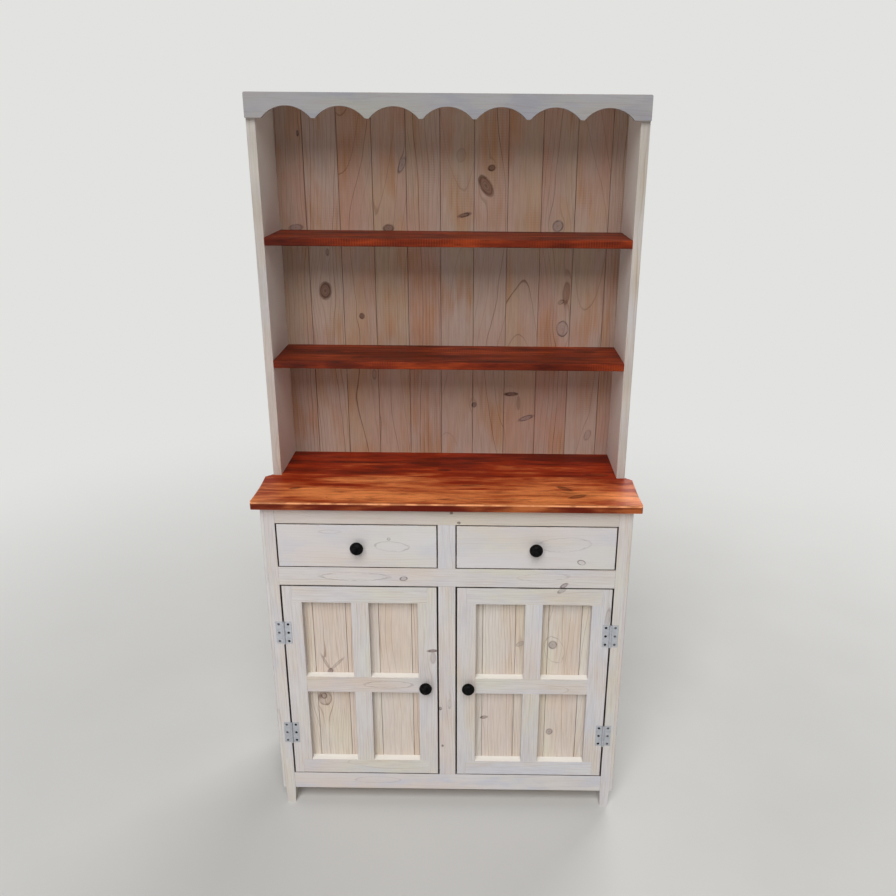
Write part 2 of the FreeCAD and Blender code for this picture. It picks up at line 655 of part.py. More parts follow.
def write_hinge_frame_parts():
    leaves = [hinge_leaf(centre, 1, (0, 2, 4)) for centre in HINGE_CENTRES]
    pins = [hinge_pin(centre) for centre in HINGE_CENTRES]
    for node, solids in (("hinge_frame_leaves", leaves), ("hinge_pins", pins),
                         ("frame_hinge_screws", leaf_screws(1))):
        write(node, *solids, *[mirrored(solid) for solid in solids])


# ---------------------------------------------------------------------------------------- doors
def middle_rail_tenon(at_hinge):
    widths = (PANE_OUT, PANE_OUT + STUB_TENON) if at_hinge else (PANE_IN - STUB_TENON, PANE_IN)
    middle = DOOR_FRAME_THICKNESS / 2
    depths = (middle - TENON_THICKNESS / 2, middle + TENON_THICKNESS / 2)
    return (widths, depths, tenon_heights(DOOR_MIDDLE_RAIL))


def muntin_tenon(height, upward):
    half = DOOR_MUNTIN / 2 - TENON_THICKNESS
    middle = DOOR_FRAME_THICKNESS / 2
    depths = (middle - TENON_THICKNESS / 2, middle + TENON_THICKNESS / 2)
    heights = (height, height + STUB_TENON) if upward else (height - STUB_TENON, height)
    return ((DOOR_MIDDLE - half, DOOR_MIDDLE + half), depths, heights)


def lapped_rail(heights):
    """Top or bottom door rail: its front half runs on over the stiles."""
    body = block((PANE_IN, PANE_OUT), (0, DOOR_FRAME_THICKNESS), heights)
    lap = block((PANE_IN - DOOR_LAP, PANE_OUT + DOOR_LAP), (0, DOOR_FRAME_THICKNESS / 2), heights)
    return joined(body, lap)


def door_rails():
    middle = joined(block((PANE_IN, PANE_OUT), (0, DOOR_FRAME_THICKNESS), DOOR_MIDDLE_RAIL),
                    block(*middle_rail_tenon(True)), block(*middle_rail_tenon(False)))
    top = without(lapped_rail((UPPER_PANE_TOP, DOOR_HIGH)), grown(muntin_tenon(UPPER_PANE_TOP, True)))
    middle = without(middle, grown(muntin_tenon(DOOR_MIDDLE_RAIL[1], False)),
                     grown(muntin_tenon(DOOR_MIDDLE_RAIL[0], True)))
    bottom = without(lapped_rail((DOOR_LOW, LOWER_PANE_BOTTOM)),
                     grown(muntin_tenon(LOWER_PANE_BOTTOM, False)))
    return [top, middle, bottom]


def door_stiles():
    depths = (0, DOOR_FRAME_THICKNESS)
    heights = (DOOR_LOW, DOOR_HIGH)
    laps = [lapped_rail(limits) for limits in ((UPPER_PANE_TOP, DOOR_HIGH), (DOOR_LOW, LOWER_PANE_BOTTOM))]
    inner = without(block((DOOR_IN, PANE_IN), depths, heights), *laps, grown(middle_rail_tenon(False)),
                    knob_screw(DOOR_KNOB, DOOR_BACK, HOLE_GAP))
    outer = without(block((PANE_OUT, DOOR_OUT), depths, heights), *laps, grown(middle_rail_tenon(True)),
                    *leaf_screws(-1, HOLE_GAP))
    return [inner, outer]


def door_muntins():
    result = []
    for low, high in ((DOOR_MIDDLE_RAIL[1], UPPER_PANE_TOP), (LOWER_PANE_BOTTOM, DOOR_MIDDLE_RAIL[0])):
        body = block((DOOR_MIDDLE - DOOR_MUNTIN / 2, DOOR_MIDDLE + DOOR_MUNTIN / 2),
                     (0, DOOR_FRAME_THICKNESS), (low, high))
        result.append(joined(body, block(*muntin_tenon(high, True)), block(*muntin_tenon(low, False))))
    return result


def door_boards():
    edges = seams(DOOR_IN + DOOR_BOARD_MARGIN, DOOR_OUT - DOOR_BOARD_MARGIN, DOOR_FIRST_SEAM)
    heights = (DOOR_LOW + DOOR_BOARD_MARGIN, DOOR_HIGH - DOOR_BOARD_MARGIN)
    result = boards(edges, DOOR_BOARD_THICKNESS, heights)
    hole = knob_screw(DOOR_KNOB, DOOR_BACK, HOLE_GAP)
    return [without(board, hole) for board in moved_back(result, DOOR_FRAME_THICKNESS)]


def catch_heights():
    return (SHELF_BEARER[1] - CATCH_HEIGHT, SHELF_BEARER[1])


def catch_plate():
    """The steel plate on the back of the door that the magnet holds."""
    widths = (CATCH_X - CATCH_WIDTH / 2, CATCH_X + CATCH_WIDTH / 2)
    return block(widths, (DOOR_BACK, DOOR_BACK + PLATE_THICKNESS), catch_heights())


def door_catch():
    """The magnet under the front edge of the cupboard shelf, which also stops the door."""
    front = DOOR_BACK + PLATE_THICKNESS + CATCH_GAP
    length = SHELF_SETBACK - front + CATCH_LENGTH
    widths = (CATCH_X - CATCH_WIDTH / 2, CATCH_X + CATCH_WIDTH / 2)
    return block(widths, (front, front + length), catch_heights())


def write_doors():
    write_pair("door_stiles", door_stiles())
    write_pair("door_rails", door_rails())
    write_pair("door_muntins", door_muntins())
    write_pair("door_boards", door_boards())
    write_pair("door_hinge_leaves", [hinge_leaf(centre, -1, (1, 3)) for centre in HINGE_CENTRES])
    write_pair("door_screws", leaf_screws(-1) + [knob_screw(DOOR_KNOB, DOOR_BACK)])
    write_pair("door_knob", [knob(DOOR_KNOB)])
    write_pair("door_catch_plate", [catch_plate()])
    write("door_catches", door_catch(), mirrored(door_catch()))


# --------------------------------------------------------------------------------------- drawers
def drawer_bottom_limits():
    low = BOX_LOW + DRAWER_BOTTOM_LIFT
    groove = DRAWER_SIDE_THICKNESS / 2
    return ((BOX_IN + groove, BOX_OUT - groove),
            (DRAWER_FRONT_THICKNESS - groove, BOX_END - JOINT_GAP),
            (low, low + DRAWER_BOTTOM_THICKNESS))


def drawer_back_limits():
    housing = DRAWER_SIDE_THICKNESS / 3
    back = BOX_END - DRAWER_BACK_SETBACK
    return ((BOX_IN + DRAWER_SIDE_THICKNESS - housing, BOX_OUT - DRAWER_SIDE_THICKNESS + housing),
            (back, back + DRAWER_SIDE_THICKNESS),
            (drawer_bottom_limits()[2][1] + JOINT_GAP, BOX_HIGH))


def drawer_sides():
    depths = (REBATE_FRONT, BOX_END)
    heights = (BOX_LOW, BOX_HIGH)
    grooves = [grown(drawer_bottom_limits()), grown(drawer_back_limits())]
    inner = block((BOX_IN, BOX_IN + DRAWER_SIDE_THICKNESS), depths, heights)
    outer = block((BOX_OUT - DRAWER_SIDE_THICKNESS, BOX_OUT), depths, heights)
    return [without(side, *grooves) for side in (inner, outer)]


def drawer_front():
    """The plain front, with rebates behind its ends for the sides and a groove for the bottom."""
    heights = (DRAWER_LOW, DRAWER_HIGH)
    body = block((DRAWER_IN, DRAWER_OUT), (0, DRAWER_FRONT_THICKNESS), heights)
    depths = (REBATE_FRONT, DRAWER_FRONT_THICKNESS)
    rebates = [block((DRAWER_IN, BOX_IN + DRAWER_SIDE_THICKNESS), depths, heights),
               block((BOX_OUT - DRAWER_SIDE_THICKNESS, DRAWER_OUT), depths, heights)]
    return without(body, *rebates, grown(drawer_bottom_limits()),
                   knob_screw(DRAWER_KNOB, DRAWER_FRONT_THICKNESS, HOLE_GAP))


def write_drawers():
    write_pair("drawer_front", [drawer_front()])
    write_pair("drawer_sides", drawer_sides())
    write_pair("drawer_back", [block(*drawer_back_limits())])
    write_pair("drawer_bottom", [block(*drawer_bottom_limits())])
    write_pair("drawer_knob", [knob(DRAWER_KNOB)])
    write_pair("drawer_knob_screw", [knob_screw(DRAWER_KNOB, DRAWER_FRONT_THICKNESS)])


os.makedirs("parts", exist_ok=True)
write_case()
write_worktop_and_hutch()
write_hinge_frame_parts()
write_doors()
write_drawers()
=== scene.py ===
"""Step back cupboard in limed and stained pine: the looks of every piece, built around its frame."""

import json
import math
import random

import bmesh
import bpy
from bpy.props import FloatProperty, FloatVectorProperty, IntProperty, PointerProperty
from bpy.types import Operator, Panel, PropertyGroup
from mathutils import Matrix, Vector

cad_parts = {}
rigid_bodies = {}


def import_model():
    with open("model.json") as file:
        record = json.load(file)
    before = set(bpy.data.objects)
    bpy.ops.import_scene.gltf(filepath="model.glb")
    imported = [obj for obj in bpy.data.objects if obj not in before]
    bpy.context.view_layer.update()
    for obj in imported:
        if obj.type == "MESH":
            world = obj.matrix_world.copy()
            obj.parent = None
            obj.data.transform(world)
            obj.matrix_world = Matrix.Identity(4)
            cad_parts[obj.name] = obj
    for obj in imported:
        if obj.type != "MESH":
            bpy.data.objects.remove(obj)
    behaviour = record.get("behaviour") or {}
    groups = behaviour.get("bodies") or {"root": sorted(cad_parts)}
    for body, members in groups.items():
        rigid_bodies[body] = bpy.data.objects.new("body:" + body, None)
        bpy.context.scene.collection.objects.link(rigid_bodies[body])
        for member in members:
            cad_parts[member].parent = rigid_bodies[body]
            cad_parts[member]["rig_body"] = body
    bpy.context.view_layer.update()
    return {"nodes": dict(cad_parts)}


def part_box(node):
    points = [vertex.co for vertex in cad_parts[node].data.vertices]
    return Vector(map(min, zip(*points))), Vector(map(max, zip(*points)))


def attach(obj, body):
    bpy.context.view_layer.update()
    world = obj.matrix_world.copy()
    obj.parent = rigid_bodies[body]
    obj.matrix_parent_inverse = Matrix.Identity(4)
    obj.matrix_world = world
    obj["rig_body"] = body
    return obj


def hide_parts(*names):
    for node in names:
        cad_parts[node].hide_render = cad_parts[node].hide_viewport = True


bl_info = {
    "name": "Step back cupboard",
    "version": (1, 0, 0),
    "blender": (4, 5, 0),
    "location": "3D View > Sidebar > Cupboard",
    "description": "Dresses the frame of a step back cupboard in limed and stained pine",
    "category": "Object",
}

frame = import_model()

MM = 0.001
SIDES = (("left", -1.0), ("right", 1.0))
CASE_FRONT = -0.1625            # depth of the front face of the base
GRAIN_SEED = 11
SAME = 1e-6                     # share of a board below which two edges count as one

# Places of seams and sizes of small things, which the frame's boxes don't give.
BACK_SEAM = -362.0 * MM
DOOR_SEAMS = {"left": -343.0 * MM, "right": 91.0 * MM}
TONGUE_SLACK = 0.15 * MM
WORKTOP_FRONT_CORNER = 4.0 * MM
WORKTOP_EAR_CORNER = 14.0 * MM
LEAST_SEAM = 500.0 * MM         # only edges longer than this can be a glued seam
LEAST_PITH = (0.0, -0.21, 0.02)  # where the middle of the log may lie from the middle of a board
MOST_PITH = (9.0, 0.21, 0.08)
SCREW_SEGMENTS = 28
LEAF_SCREW_STEP = 24.5 * MM
HINGE_STEP = 306.0 * MM
ACROSS_HINGE = 24.0 * MM        # from the screws in one leaf to those in the other
KNOB_SCREW_RADIUS = 2.0 * MM
KNOB_SCREW_HEAD = 2.5 * MM
KNOB_SCREW_DEPTH = 16.0 * MM
DOWEL_ARRIS = 0.4 * MM
PLYWOOD_ARRIS = 0.3 * MM
CATCH_ARRIS = 1.2 * MM

FLOOR_RADIUS = 14.0
FLOOR_FADE = (0.7, 3.4)         # how far out the floor starts and ends turning into backdrop
ROOM_LIGHT = 0.075
# Lamps: name, place, height of what they light, size, power, and spread in degrees.
LAMPS = (
    ("key", (-0.8, -9.4, 10.3), 0.9, 9.0, 1540.0, 180),
    ("fill", (-0.9, -2.1, 0.6), 0.45, 1.1, 2.2, 100),
    ("behind", (2.5, 5.5, 5.0), 0.9, 4.0, 260.0, 180),
)
CAMERA_PLACE = (0.0780, -2.1013, 1.7291)
CAMERA_ANGLES = (0.36585, -0.0062, 0.00821)      # how far it is pitched down, yawed and rolled
CAMERA_LENS = 35.36
CAMERA_SHIFT = (-0.0293, 0.0246)

# Knots that stand out: place along the grain, place across it, radius, stretch, turn of the long axis away
# from the grain in degrees, darkness of the bark line, fill of the heart, and how red (1) or grey (0) it is.
# One with no fill is only an outline, as where the saw grazed a growth ring.
HUTCH_KNOTS = (
    (1.346, -0.324, 0.0140, 1.45, 6, 0.75, 0.90, 1.0),
    (1.281, -0.232, 0.0060, 1.10, 0, 0.95, 0.95, 0.8),
    (1.443, -0.314, 0.0040, 2.00, 0, 0.55, 0.60, 0.6),
    (1.252, 0.291, 0.0140, 1.45, 0, 0.90, 0.30, 0.0),
    (1.345, 0.297, 0.0095, 3.40, 4, 0.10, 0.60, 1.0),
    (1.322, 0.285, 0.0050, 1.60, 60, 0.70, 0.45, 0.5),
    (1.607, 0.087, 0.0125, 2.00, -32, 0.80, 0.80, 1.0),
    (1.649, 0.101, 0.0065, 1.30, 75, 0.95, 0.90, 0.9),
    (1.678, 0.026, 0.0110, 1.40, 10, 0.30, 0.15, 0.8),
    (1.537, 0.034, 0.0042, 3.40, 76, 0.95, 0.90, 0.7),
    (1.512, 0.269, 0.0120, 1.10, 30, 0.85, 0.60, 0.1),
    (1.503, -0.390, 0.0075, 2.20, 84, 0.60, 0.60, 0.4),
    (1.503, -0.157, 0.0090, 1.40, 80, 0.80, 0.85, 0.8),
    (1.654, -0.120, 0.0062, 2.90, 25, 0.90, 0.45, 0.0),
    (1.725, -0.372, 0.0022, 2.40, 0, 0.90, 0.95, 0.3),
    (1.043, 0.062, 0.0055, 1.20, 20, 0.95, 0.90, 0.5),
    (1.074, 0.161, 0.0045, 3.40, 88, 0.95, 0.90, 0.8),
    (1.007, 0.203, 0.0055, 3.40, 70, 0.85, 0.55, 0.2),
    (1.060, 0.150, 0.0180, 2.20, 12, 0.12, 0.00, 0.2),
    (1.125, -0.205, 0.0050, 2.50, 0, 0.50, 0.40, 0.5),
    (0.960, 0.372, 0.0080, 1.80, 20, 0.60, 0.30, 0.2),
)
DOOR_KNOTS = (
    (0.497, 0.272, 0.0100, 1.10, 0, 0.75, 0.60, 0.2),
    (0.483, 0.276, 0.0240, 1.70, -18, 0.40, 0.00, 0.2),
    (0.227, 0.273, 0.0078, 1.10, 20, 0.80, 0.60, 0.3),
    (0.271, 0.097, 0.0040, 2.20, 80, 0.75, 0.60, 0.7),
    (0.499, 0.188, 0.0060, 1.80, 60, 0.40, 0.35, 0.1),
    (0.438, -0.318, 0.0032, 7.00, -24, 0.30, 0.40, 0.6),
    (0.432, -0.288, 0.0034, 7.00, 44, 0.30, 0.40, 0.6),
    (0.411, -0.306, 0.0058, 1.30, 40, 0.85, 0.75, 0.4),
    (0.326, -0.325, 0.0170, 1.30, 0, 0.55, 0.30, 0.7),
    (0.333, -0.327, 0.0070, 1.20, 0, 0.80, 0.55, 0.6),
)
RAIL_KNOTS = (
    (0.012, 0.875, 0.0026, 1.20, 0, 1.00, 1.00, 0.6),
    (0.030, 0.849, 0.0026, 1.20, 0, 1.00, 0.80, 0.4),
    (-0.107, 0.696, 0.0052, 1.70, 8, 0.80, 0.40, 0.0),
    (-0.228, 0.700, 0.0115, 7.20, 0, 0.36, 0.00, 0.5),
    (0.240, 0.704, 0.0100, 6.20, 3, 0.22, 0.00, 0.5),
    (0.291, 0.681, 0.0045, 2.20, 35, 0.80, 0.60, 0.2),
    (-0.190, 0.078, 0.0100, 6.00, 0, 0.22, 0.00, 0.4),
)
DOOR_RAIL_KNOTS = (
    (0.286, 0.667, 0.0048, 2.20, 30, 0.60, 0.40, 0.2),
    (-0.152, 0.385, 0.0110, 5.60, 0, 0.38, 0.00, 0.5),
)
UPRIGHT_KNOTS = (
    (0.313, -0.018, 0.0034, 1.20, 0, 0.95, 0.80, 0.3),
    (0.194, -0.013, 0.0024, 1.20, 0, 0.95, 0.90, 0.6),
    (0.327, 0.006, 0.0042, 3.20, 0, 0.35, 0.15, 0.3),
    (0.489, -0.037, 0.0034, 3.40, 86, 0.75, 0.75, 0.9),
    (0.468, -0.036, 0.0080, 2.40, 0, 0.05, 0.35, 1.0),
    (0.590, 0.405, 0.0060, 4.60, 6, 0.30, 0.20, 0.9),
)
DRAWER_KNOTS = (
    (-0.141, 0.804, 0.0030, 1.20, 0, 0.85, 0.10, 0.1),
    (-0.134, 0.784, 0.0130, 3.20, -4, 0.34, 0.00, 0.1),
    (0.331, 0.746, 0.0062, 1.50, -15, 0.90, 0.12, 0.1),
    (0.286, 0.793, 0.0190, 3.40, 3, 0.26, 0.00, 0.2),
    (-0.285, 0.822, 0.0050, 5.00, 0, 0.20, 0.00, 0.2),
)
WORKTOP_KNOTS = (
    (-0.014, 0.045, 0.0062, 2.60, 0, 0.60, 0.90, 1.0),
    (-0.377, -0.090, 0.0055, 2.40, 20, 0.50, 0.80, 1.0),
    (0.290, -0.076, 0.0085, 2.60, -42, 0.50, 0.80, 0.0),
    (0.318, -0.126, 0.0085, 2.80, 28, 0.50, 0.80, 0.0),
    (-0.067, 0.096, 0.0100, 4.50, 0, 0.20, 0.75, 0.0),
    (0.060, -0.058, 0.0060, 5.00, 10, 0.20, 0.70, 0.0),
    (0.380, 0.020, 0.0100, 3.20, 0, 0.30, 0.70, 0.0),
)
SHELF_KNOTS = (
    (-0.309, 0.105, 0.0120, 2.60, 0, 0.60, 0.75, 0.5),
    (-0.229, 0.040, 0.0080, 2.00, 30, 0.50, 0.60, 0.5),
    (0.345, 0.120, 0.0120, 2.20, 0, 0.60, 0.70, 0.4),
)


def shade(red, green, blue):
    """A colour from its values on a screen, 0 to 255, as the shaders want it."""
    return tuple(((value / 255 + 0.055) / 1.055) ** 2.4 for value in (red, green, blue))


# ------------------------------------------------------------------------------- sizes and colours
def length(name, description, default):
    return FloatProperty(name=name, description=description, default=default, min=0.0, precision=5,
                         subtype="DISTANCE", unit="LENGTH")


def paint(name, description, *screen_values):
    return FloatVectorProperty(name=name, description=description, default=shade(*screen_values),
                               min=0.0, max=1.0, size=3, subtype="COLOR")


class CupboardSizes(PropertyGroup):
    frame_arris: length("Frame arris", "Rounding of the long edges of legs, rails and stiles", 0.7 * MM)
    front_arris: length("Drawer front arris", "Rounding of the drawer fronts and the hutch sides", 1.4 * MM)
    shelf_arris: length("Shelf arris", "Rounding of the front edges of the shelves", 2.0 * MM)
    metal_arris: length("Metal arris", "Rounding of the hinge leaves and plates", 0.25 * MM)
    valance_arris: length("Valance arris", "Rounding of the scalloped edge", 1.0 * MM)
    worktop_arris: length("Worktop arris", "Rounding of the outer top edge of the worktop", 5.5 * MM)
    worktop_seam: length("Worktop seam", "Easing of the glued seams in the worktop", 0.35 * MM)
    board_cover: length("Board cover", "Width that one tongue-and-groove board covers", 84.0 * MM)
    board_gap: length("Board gap", "Open joint between two boards", 0.4 * MM)
    board_chamfer: length("Board chamfer", "Chamfer along the face of each board", 0.9 * MM)
    board_tongue: length("Board tongue", "Reach of the tongue", 6.0 * MM)
    scallops: IntProperty(name="Scallops", description="Arches cut in the valance", default=7, min=1)
    scallop_pitch: length("Scallop pitch", "Distance from one arch to the next", 119.3 * MM)
    scallop_rise: length("Scallop rise", "Height of each arch", 25.5 * MM)
    scallop_tip: length("Scallop tip", "Flat between two arches", 9.0 * MM)
    valance_corner: length("Valance corner", "Rounding of the two upper corners", 4.0 * MM)
    knob_radius: length("Knob radius", "Half the width of a knob", 16.5 * MM)
    knob_reach: length("Knob reach", "How far a knob stands out", 28.5 * MM)
    knob_foot: length("Knob foot", "Radius of the foot of a knob", 6.8 * MM)
    screw_head: length("Screw head", "Radius of a hinge screw's head", 3.4 * MM)
    screw_shank: length("Screw shank", "Radius of a hinge screw's shank", 1.7 * MM)
    screw_length: length("Screw length", "Length of a hinge screw", 16.0 * MM)


class CupboardFinishes(PropertyGroup):
    frame_main: paint("Frame", "Whitewash on the frame", 207, 205, 207)
    frame_cream: paint("Frame, cream", "Where the whitewash has yellowed", 207, 205, 196)
    frame_rose: paint("Frame, rose", "Where the wood warms the whitewash", 208, 198, 193)
    frame_haze: paint("Frame, haze", "Where the whitewash lies thick and cool", 194, 195, 205)
    frame_warm: paint("Frame, bare", "Wood where the whitewash is thin", 206, 186, 162)
    frame_grain: paint("Frame, grain", "Late wood that shows through", 150, 126, 106)
    pane_main: paint("Panes", "Whitewash on the boards behind the panes", 212, 205, 197)
    pane_cream: paint("Panes, cream", "Yellower door boards", 213, 205, 188)
    pane_rose: paint("Panes, rose", "Pinker door boards", 210, 196, 186)
    pane_haze: paint("Panes, haze", "Cool whitewash on the door boards", 204, 196, 192)
    pane_warm: paint("Panes, bare", "Thin whitewash on the door boards", 202, 178, 150)
    pane_grain: paint("Panes, grain", "Late wood in the door boards", 126, 98, 78)
    # The hutch colours are darker and warmer than the frame's: partly a thinner wash, partly painted shade and
    # warm bounce light.
    hutch_main: paint("Hutch", "Thinner whitewash on the hutch boards", 186, 161, 148)
    hutch_cream: paint("Hutch, cream", "Yellower hutch boards", 186, 162, 141)
    hutch_rose: paint("Hutch, rose", "Pinker hutch boards", 186, 151, 136)
    hutch_haze: paint("Hutch, haze", "Cool whitewash on the hutch boards", 180, 164, 156)
    hutch_warm: paint("Hutch, bare", "Thin whitewash on the hutch boards", 180, 126, 80)
    hutch_grain: paint("Hutch, grain", "Late wood in the hutch boards", 98, 64, 46)
    # Pooled whitewash is a painted highlight: it lightens the ledges that look up and the inner faces of the
    # hutch sides.
    pooled: paint("Pooled whitewash", "Thick whitewash in the corners of the panes", 250, 247, 240)
    groove: paint("Groove", "Dirt and shade in the joint between two boards", 56, 36, 26)
    # The gap colour is painted shade and grime on the faces that look into a gap.
    gap: paint("Gap", "Old grime on the edges that face a gap", 50, 38, 30)
    raw_edge: paint("Rubbed edge", "Wood where the whitewash is rubbed off an edge", 164, 134, 106)
    knot_brown: paint("Brown knot", "Heart of a red knot", 92, 50, 30)
    knot_grey: paint("Grey knot", "Heart of a grey knot", 138, 128, 134)
    knot_rim: paint("Knot rim", "Bark line round a knot", 66, 40, 28)
    stain_light: paint("Light stain", "Stain on early wood", 255, 152, 86)
    stain_middle: paint("Middle stain", "Stain where the wood takes more of it", 164, 48, 13)
    stain_deep: paint("Deep stain", "Stain on late wood", 88, 20, 5)
    stain_pool: paint("Pooled stain", "Stain that has pooled and dried dark", 50, 14, 8)
    # The stained edge colour is rubbed stain and a painted highlight along the rounded edges.
    stain_edge_highlight: paint("Stained edge", "Thin stain along an edge", 250, 172, 120)
    shelf_light: paint("Light shelf stain", "Shelf stain on early wood", 184, 78, 32)
    shelf_middle: paint("Middle shelf stain", "Shelf stain where the wood takes more of it", 120, 42, 19)
    shelf_deep: paint("Deep shelf stain", "Shelf stain on late wood", 52, 15, 8)
    bare_light: paint("Bare pine", "Unpainted early wood", 212, 178, 132)
    bare_grain: paint("Bare late wood", "Unpainted late wood", 176, 126, 78)
    knob_black: paint("Knob", "Black lacquer of the knobs", 4, 4, 5)
    zinc: paint("Zinc", "Plated hinges", 188, 191, 197)
    steel: paint("Screw steel", "Screws", 122, 122, 124)
    dull_steel: paint("Dull screw steel", "Older, darker screws in the doors", 44, 44, 46)
    plastic: paint("Catch", "Moulded case of the catches", 226, 222, 212)
    floor: paint("Floor", "The floor it stands on", 214, 213, 210)
    backdrop: paint("Backdrop", "What is behind the cupboard", 226, 226, 224)
    ring_width: length("Ring width", "Distance between two growth rings", 7.5 * MM)


# ---------------------------------------------------------------------------------- wiring of nodes
class Value:
    """An output of a node. A sum or a product with it becomes a new node in the same tree."""

    def __init__(self, wiring, made, key=None):
        self.wiring = wiring
        self.made = made
        if key is None:
            self.socket = next((socket for socket in made.outputs if socket.enabled), None)
        else:
            self.socket = made.outputs[key]

    def __getitem__(self, key):
        """Another output of the same node."""
        return Value(self.wiring, self.made, key)

    def __add__(self, other):
        return self.wiring.math("ADD", self, other)

    def __sub__(self, other):
        return self.wiring.math("SUBTRACT", self, other)

    def __rsub__(self, other):
        return self.wiring.math("SUBTRACT", other, self)

    def __mul__(self, other):
        return self.wiring.math("MULTIPLY", self, other)

    def __truediv__(self, other):
        return self.wiring.math("DIVIDE", self, other)

    def most(self, other):
        return self.wiring.math("MAXIMUM", self, other)

    def function(self, operation):
        return self.wiring.math(operation, self)

    def spread(self, low, high, to_low=0.0, to_high=1.0):
        """A smooth step from low to high."""
        return self.wiring.node("ShaderNodeMapRange", {0: self, 1: low, 2: high, 3: to_low, 4: to_high},
                                interpolation_type="SMOOTHSTEP")


class Wiring:
    """Places and joins the nodes of one tree."""

    def __init__(self, tree):
        self.tree = tree

    def node(self, kind, feeds=None, **settings):
        made = self.tree.nodes.new(kind)
        for name, value in settings.items():
            setattr(made, name, value)
        for key, value in (feeds or {}).items():
            self.feed(made, key, value)
        return Value(self, made)

    def feed(self, made, key, value):
        if isinstance(key, int):
            socket = made.inputs[key]
        else:
            socket = next(s for s in made.inputs if s.enabled and s.name == key)
        if isinstance(value, Value):
            self.tree.links.new(value.socket, socket)
        elif socket.type == "RGBA":
            socket.default_value = (*value, 1.0)
        else:
            socket.default_value = value

    def math(self, operation, *values):
        return self.node("ShaderNodeMath", dict(enumerate(values)), operation=operation)

    def join(self, x, y, z):
        return self.node("ShaderNodeCombineXYZ", {0: x, 1: y, 2: z})

    def split(self, vector):
        return self.node("ShaderNodeSeparateXYZ", {0: vector})

    def place(self):
        """Where a point of the piece lies, in the frame shared by all pieces."""
        return self.node("ShaderNodeTexCoord")["Object"]

    def attribute(self, name):
        return self.node("ShaderNodeAttribute", attribute_name=name)

    def noise(self, vector, scale, detail=2.0, roughness=0.5):
        return self.node("ShaderNodeTexNoise", {"Vector": vector, "Scale": scale, "Detail": detail,
                                                "Roughness": roughness})

    def drawn_out(self, grain, along, across, detail=2.0, roughness=0.5):
        """Noise with one scale along the grain and another across it."""
        stretched = self.node("ShaderNodeVectorMath", {0: grain, 1: (along, across, across)},
                              operation="MULTIPLY")
        return self.noise(stretched, 1.0, detail, roughness)

    def mix(self, share, first, second):
        return self.node("ShaderNodeMix", {0: share, 6: first, 7: second}, data_type="RGBA")

    def coated(self, colour, *coats):
        """A colour with others laid over it in turn, each by its own share."""
        for share, coat in coats:
            colour = self.mix(share, colour, coat)
        return colour

    def dress(self, shader, colour, roughness, gloss, relief):
        """Feeds a shader. relief is a height, how strongly it shows, and how deep it is."""
        height, strength, depth = relief
        bump = self.node("ShaderNodeBump", {"Height": height, "Strength": strength, "Distance": depth})
        for name, value in (("Base Color", colour), ("Roughness", roughness), ("Normal", bump),
                            ("Specular IOR Level", gloss)):
            self.feed(shader, name, value)

    def store(self, shape, name, value, kind, domain="POINT"):
        return self.node("GeometryNodeStoreNamedAttribute", {"Geometry": shape, "Name": name, "Value": value},
                         data_type=kind, domain=domain)

    def row(self, shape, count, step, start=(0.0, 0.0, 0.0), turn=(0.0, 0.0, 0.0)):
        """Copies of a shape at equal steps."""
        line = self.node("GeometryNodeMeshLine", {"Count": count, "Start Location": start, "Offset": step})
        return self.node("GeometryNodeInstanceOnPoints", {"Points": line, "Instance": shape,
                                                          "Rotation": turn})

    def deliver(self, result, shape, finish):
        """Ends a tree with real geometry in one finish."""
        whole = self.node("GeometryNodeRealizeInstances", {"Geometry": shape})
        self.feed(result, 0, self.node("GeometryNodeSetMaterial", {"Geometry": whole, "Material": finish}))


def distance(first, second):
    """The length of a step with these two legs."""
    return (first * first + second * second).function("SQRT")


def bell(first, second):
    """One at the middle, fading to nothing with distance."""
    return ((first * first + second * second) * -1.0).function("EXPONENT")


def made_once(store, name):
    """For a function that makes one named thing: the first call makes it and later calls find it."""
    def wrap(make):
        def find_or_make():
            things = getattr(bpy.data, store)
            return things[name] if name in things else make(name)
        return find_or_make
    return wrap


def group_tree(name, kind, inputs, outputs):
    """A new node group with these sockets, its wiring, and the two end nodes."""
    tree = bpy.data.node_groups.new(name, kind)
    for direction, sockets in (("INPUT", inputs), ("OUTPUT", outputs)):
        for label, socket_type in sockets:
            tree.interface.new_socket(label, in_out=direction, socket_type=socket_type)
    wiring = Wiring(tree)
    return tree, wiring, wiring.node("NodeGroupInput"), wiring.node("NodeGroupOutput").made


def new_material(name):
    """A new material with its wiring and its shader."""
    material = bpy.data.materials.new(name)
    material.use_nodes = True
    return material, Wiring(material.node_tree), material.node_tree.nodes["Principled BSDF"]


# ------------------------------------------------------------------------------------ wood and knots
NUMBER = "NodeSocketFloat"
WHOLE = "NodeSocketInt"
TRIPLE = "NodeSocketVector"
GEOMETRY = "NodeSocketGeometry"
FINISH = "NodeSocketMaterial"

KNOT_MARKS = ("Pull", "Lines", "Body", "Red", "Near")
KNOT_CELL = (0.34, 0.12)         # the stretch of board, along and across, that may hold one chance knot
CHANCE_STRETCH = 1.3


def knot_heart(along, across, radius, stretch, wobble):
    """How far a point lies from the middle of a knot, where 1 is the knot's rim."""
    return distance(along / (radius * stretch), across / radius) + wobble


def knot_reach(along, across, radius, stretch):
    """How strongly the grain bends round a knot: one at its middle, fading along and across the board."""
    return bell(along / (radius * stretch * 3.4), across / (radius * 2.3))


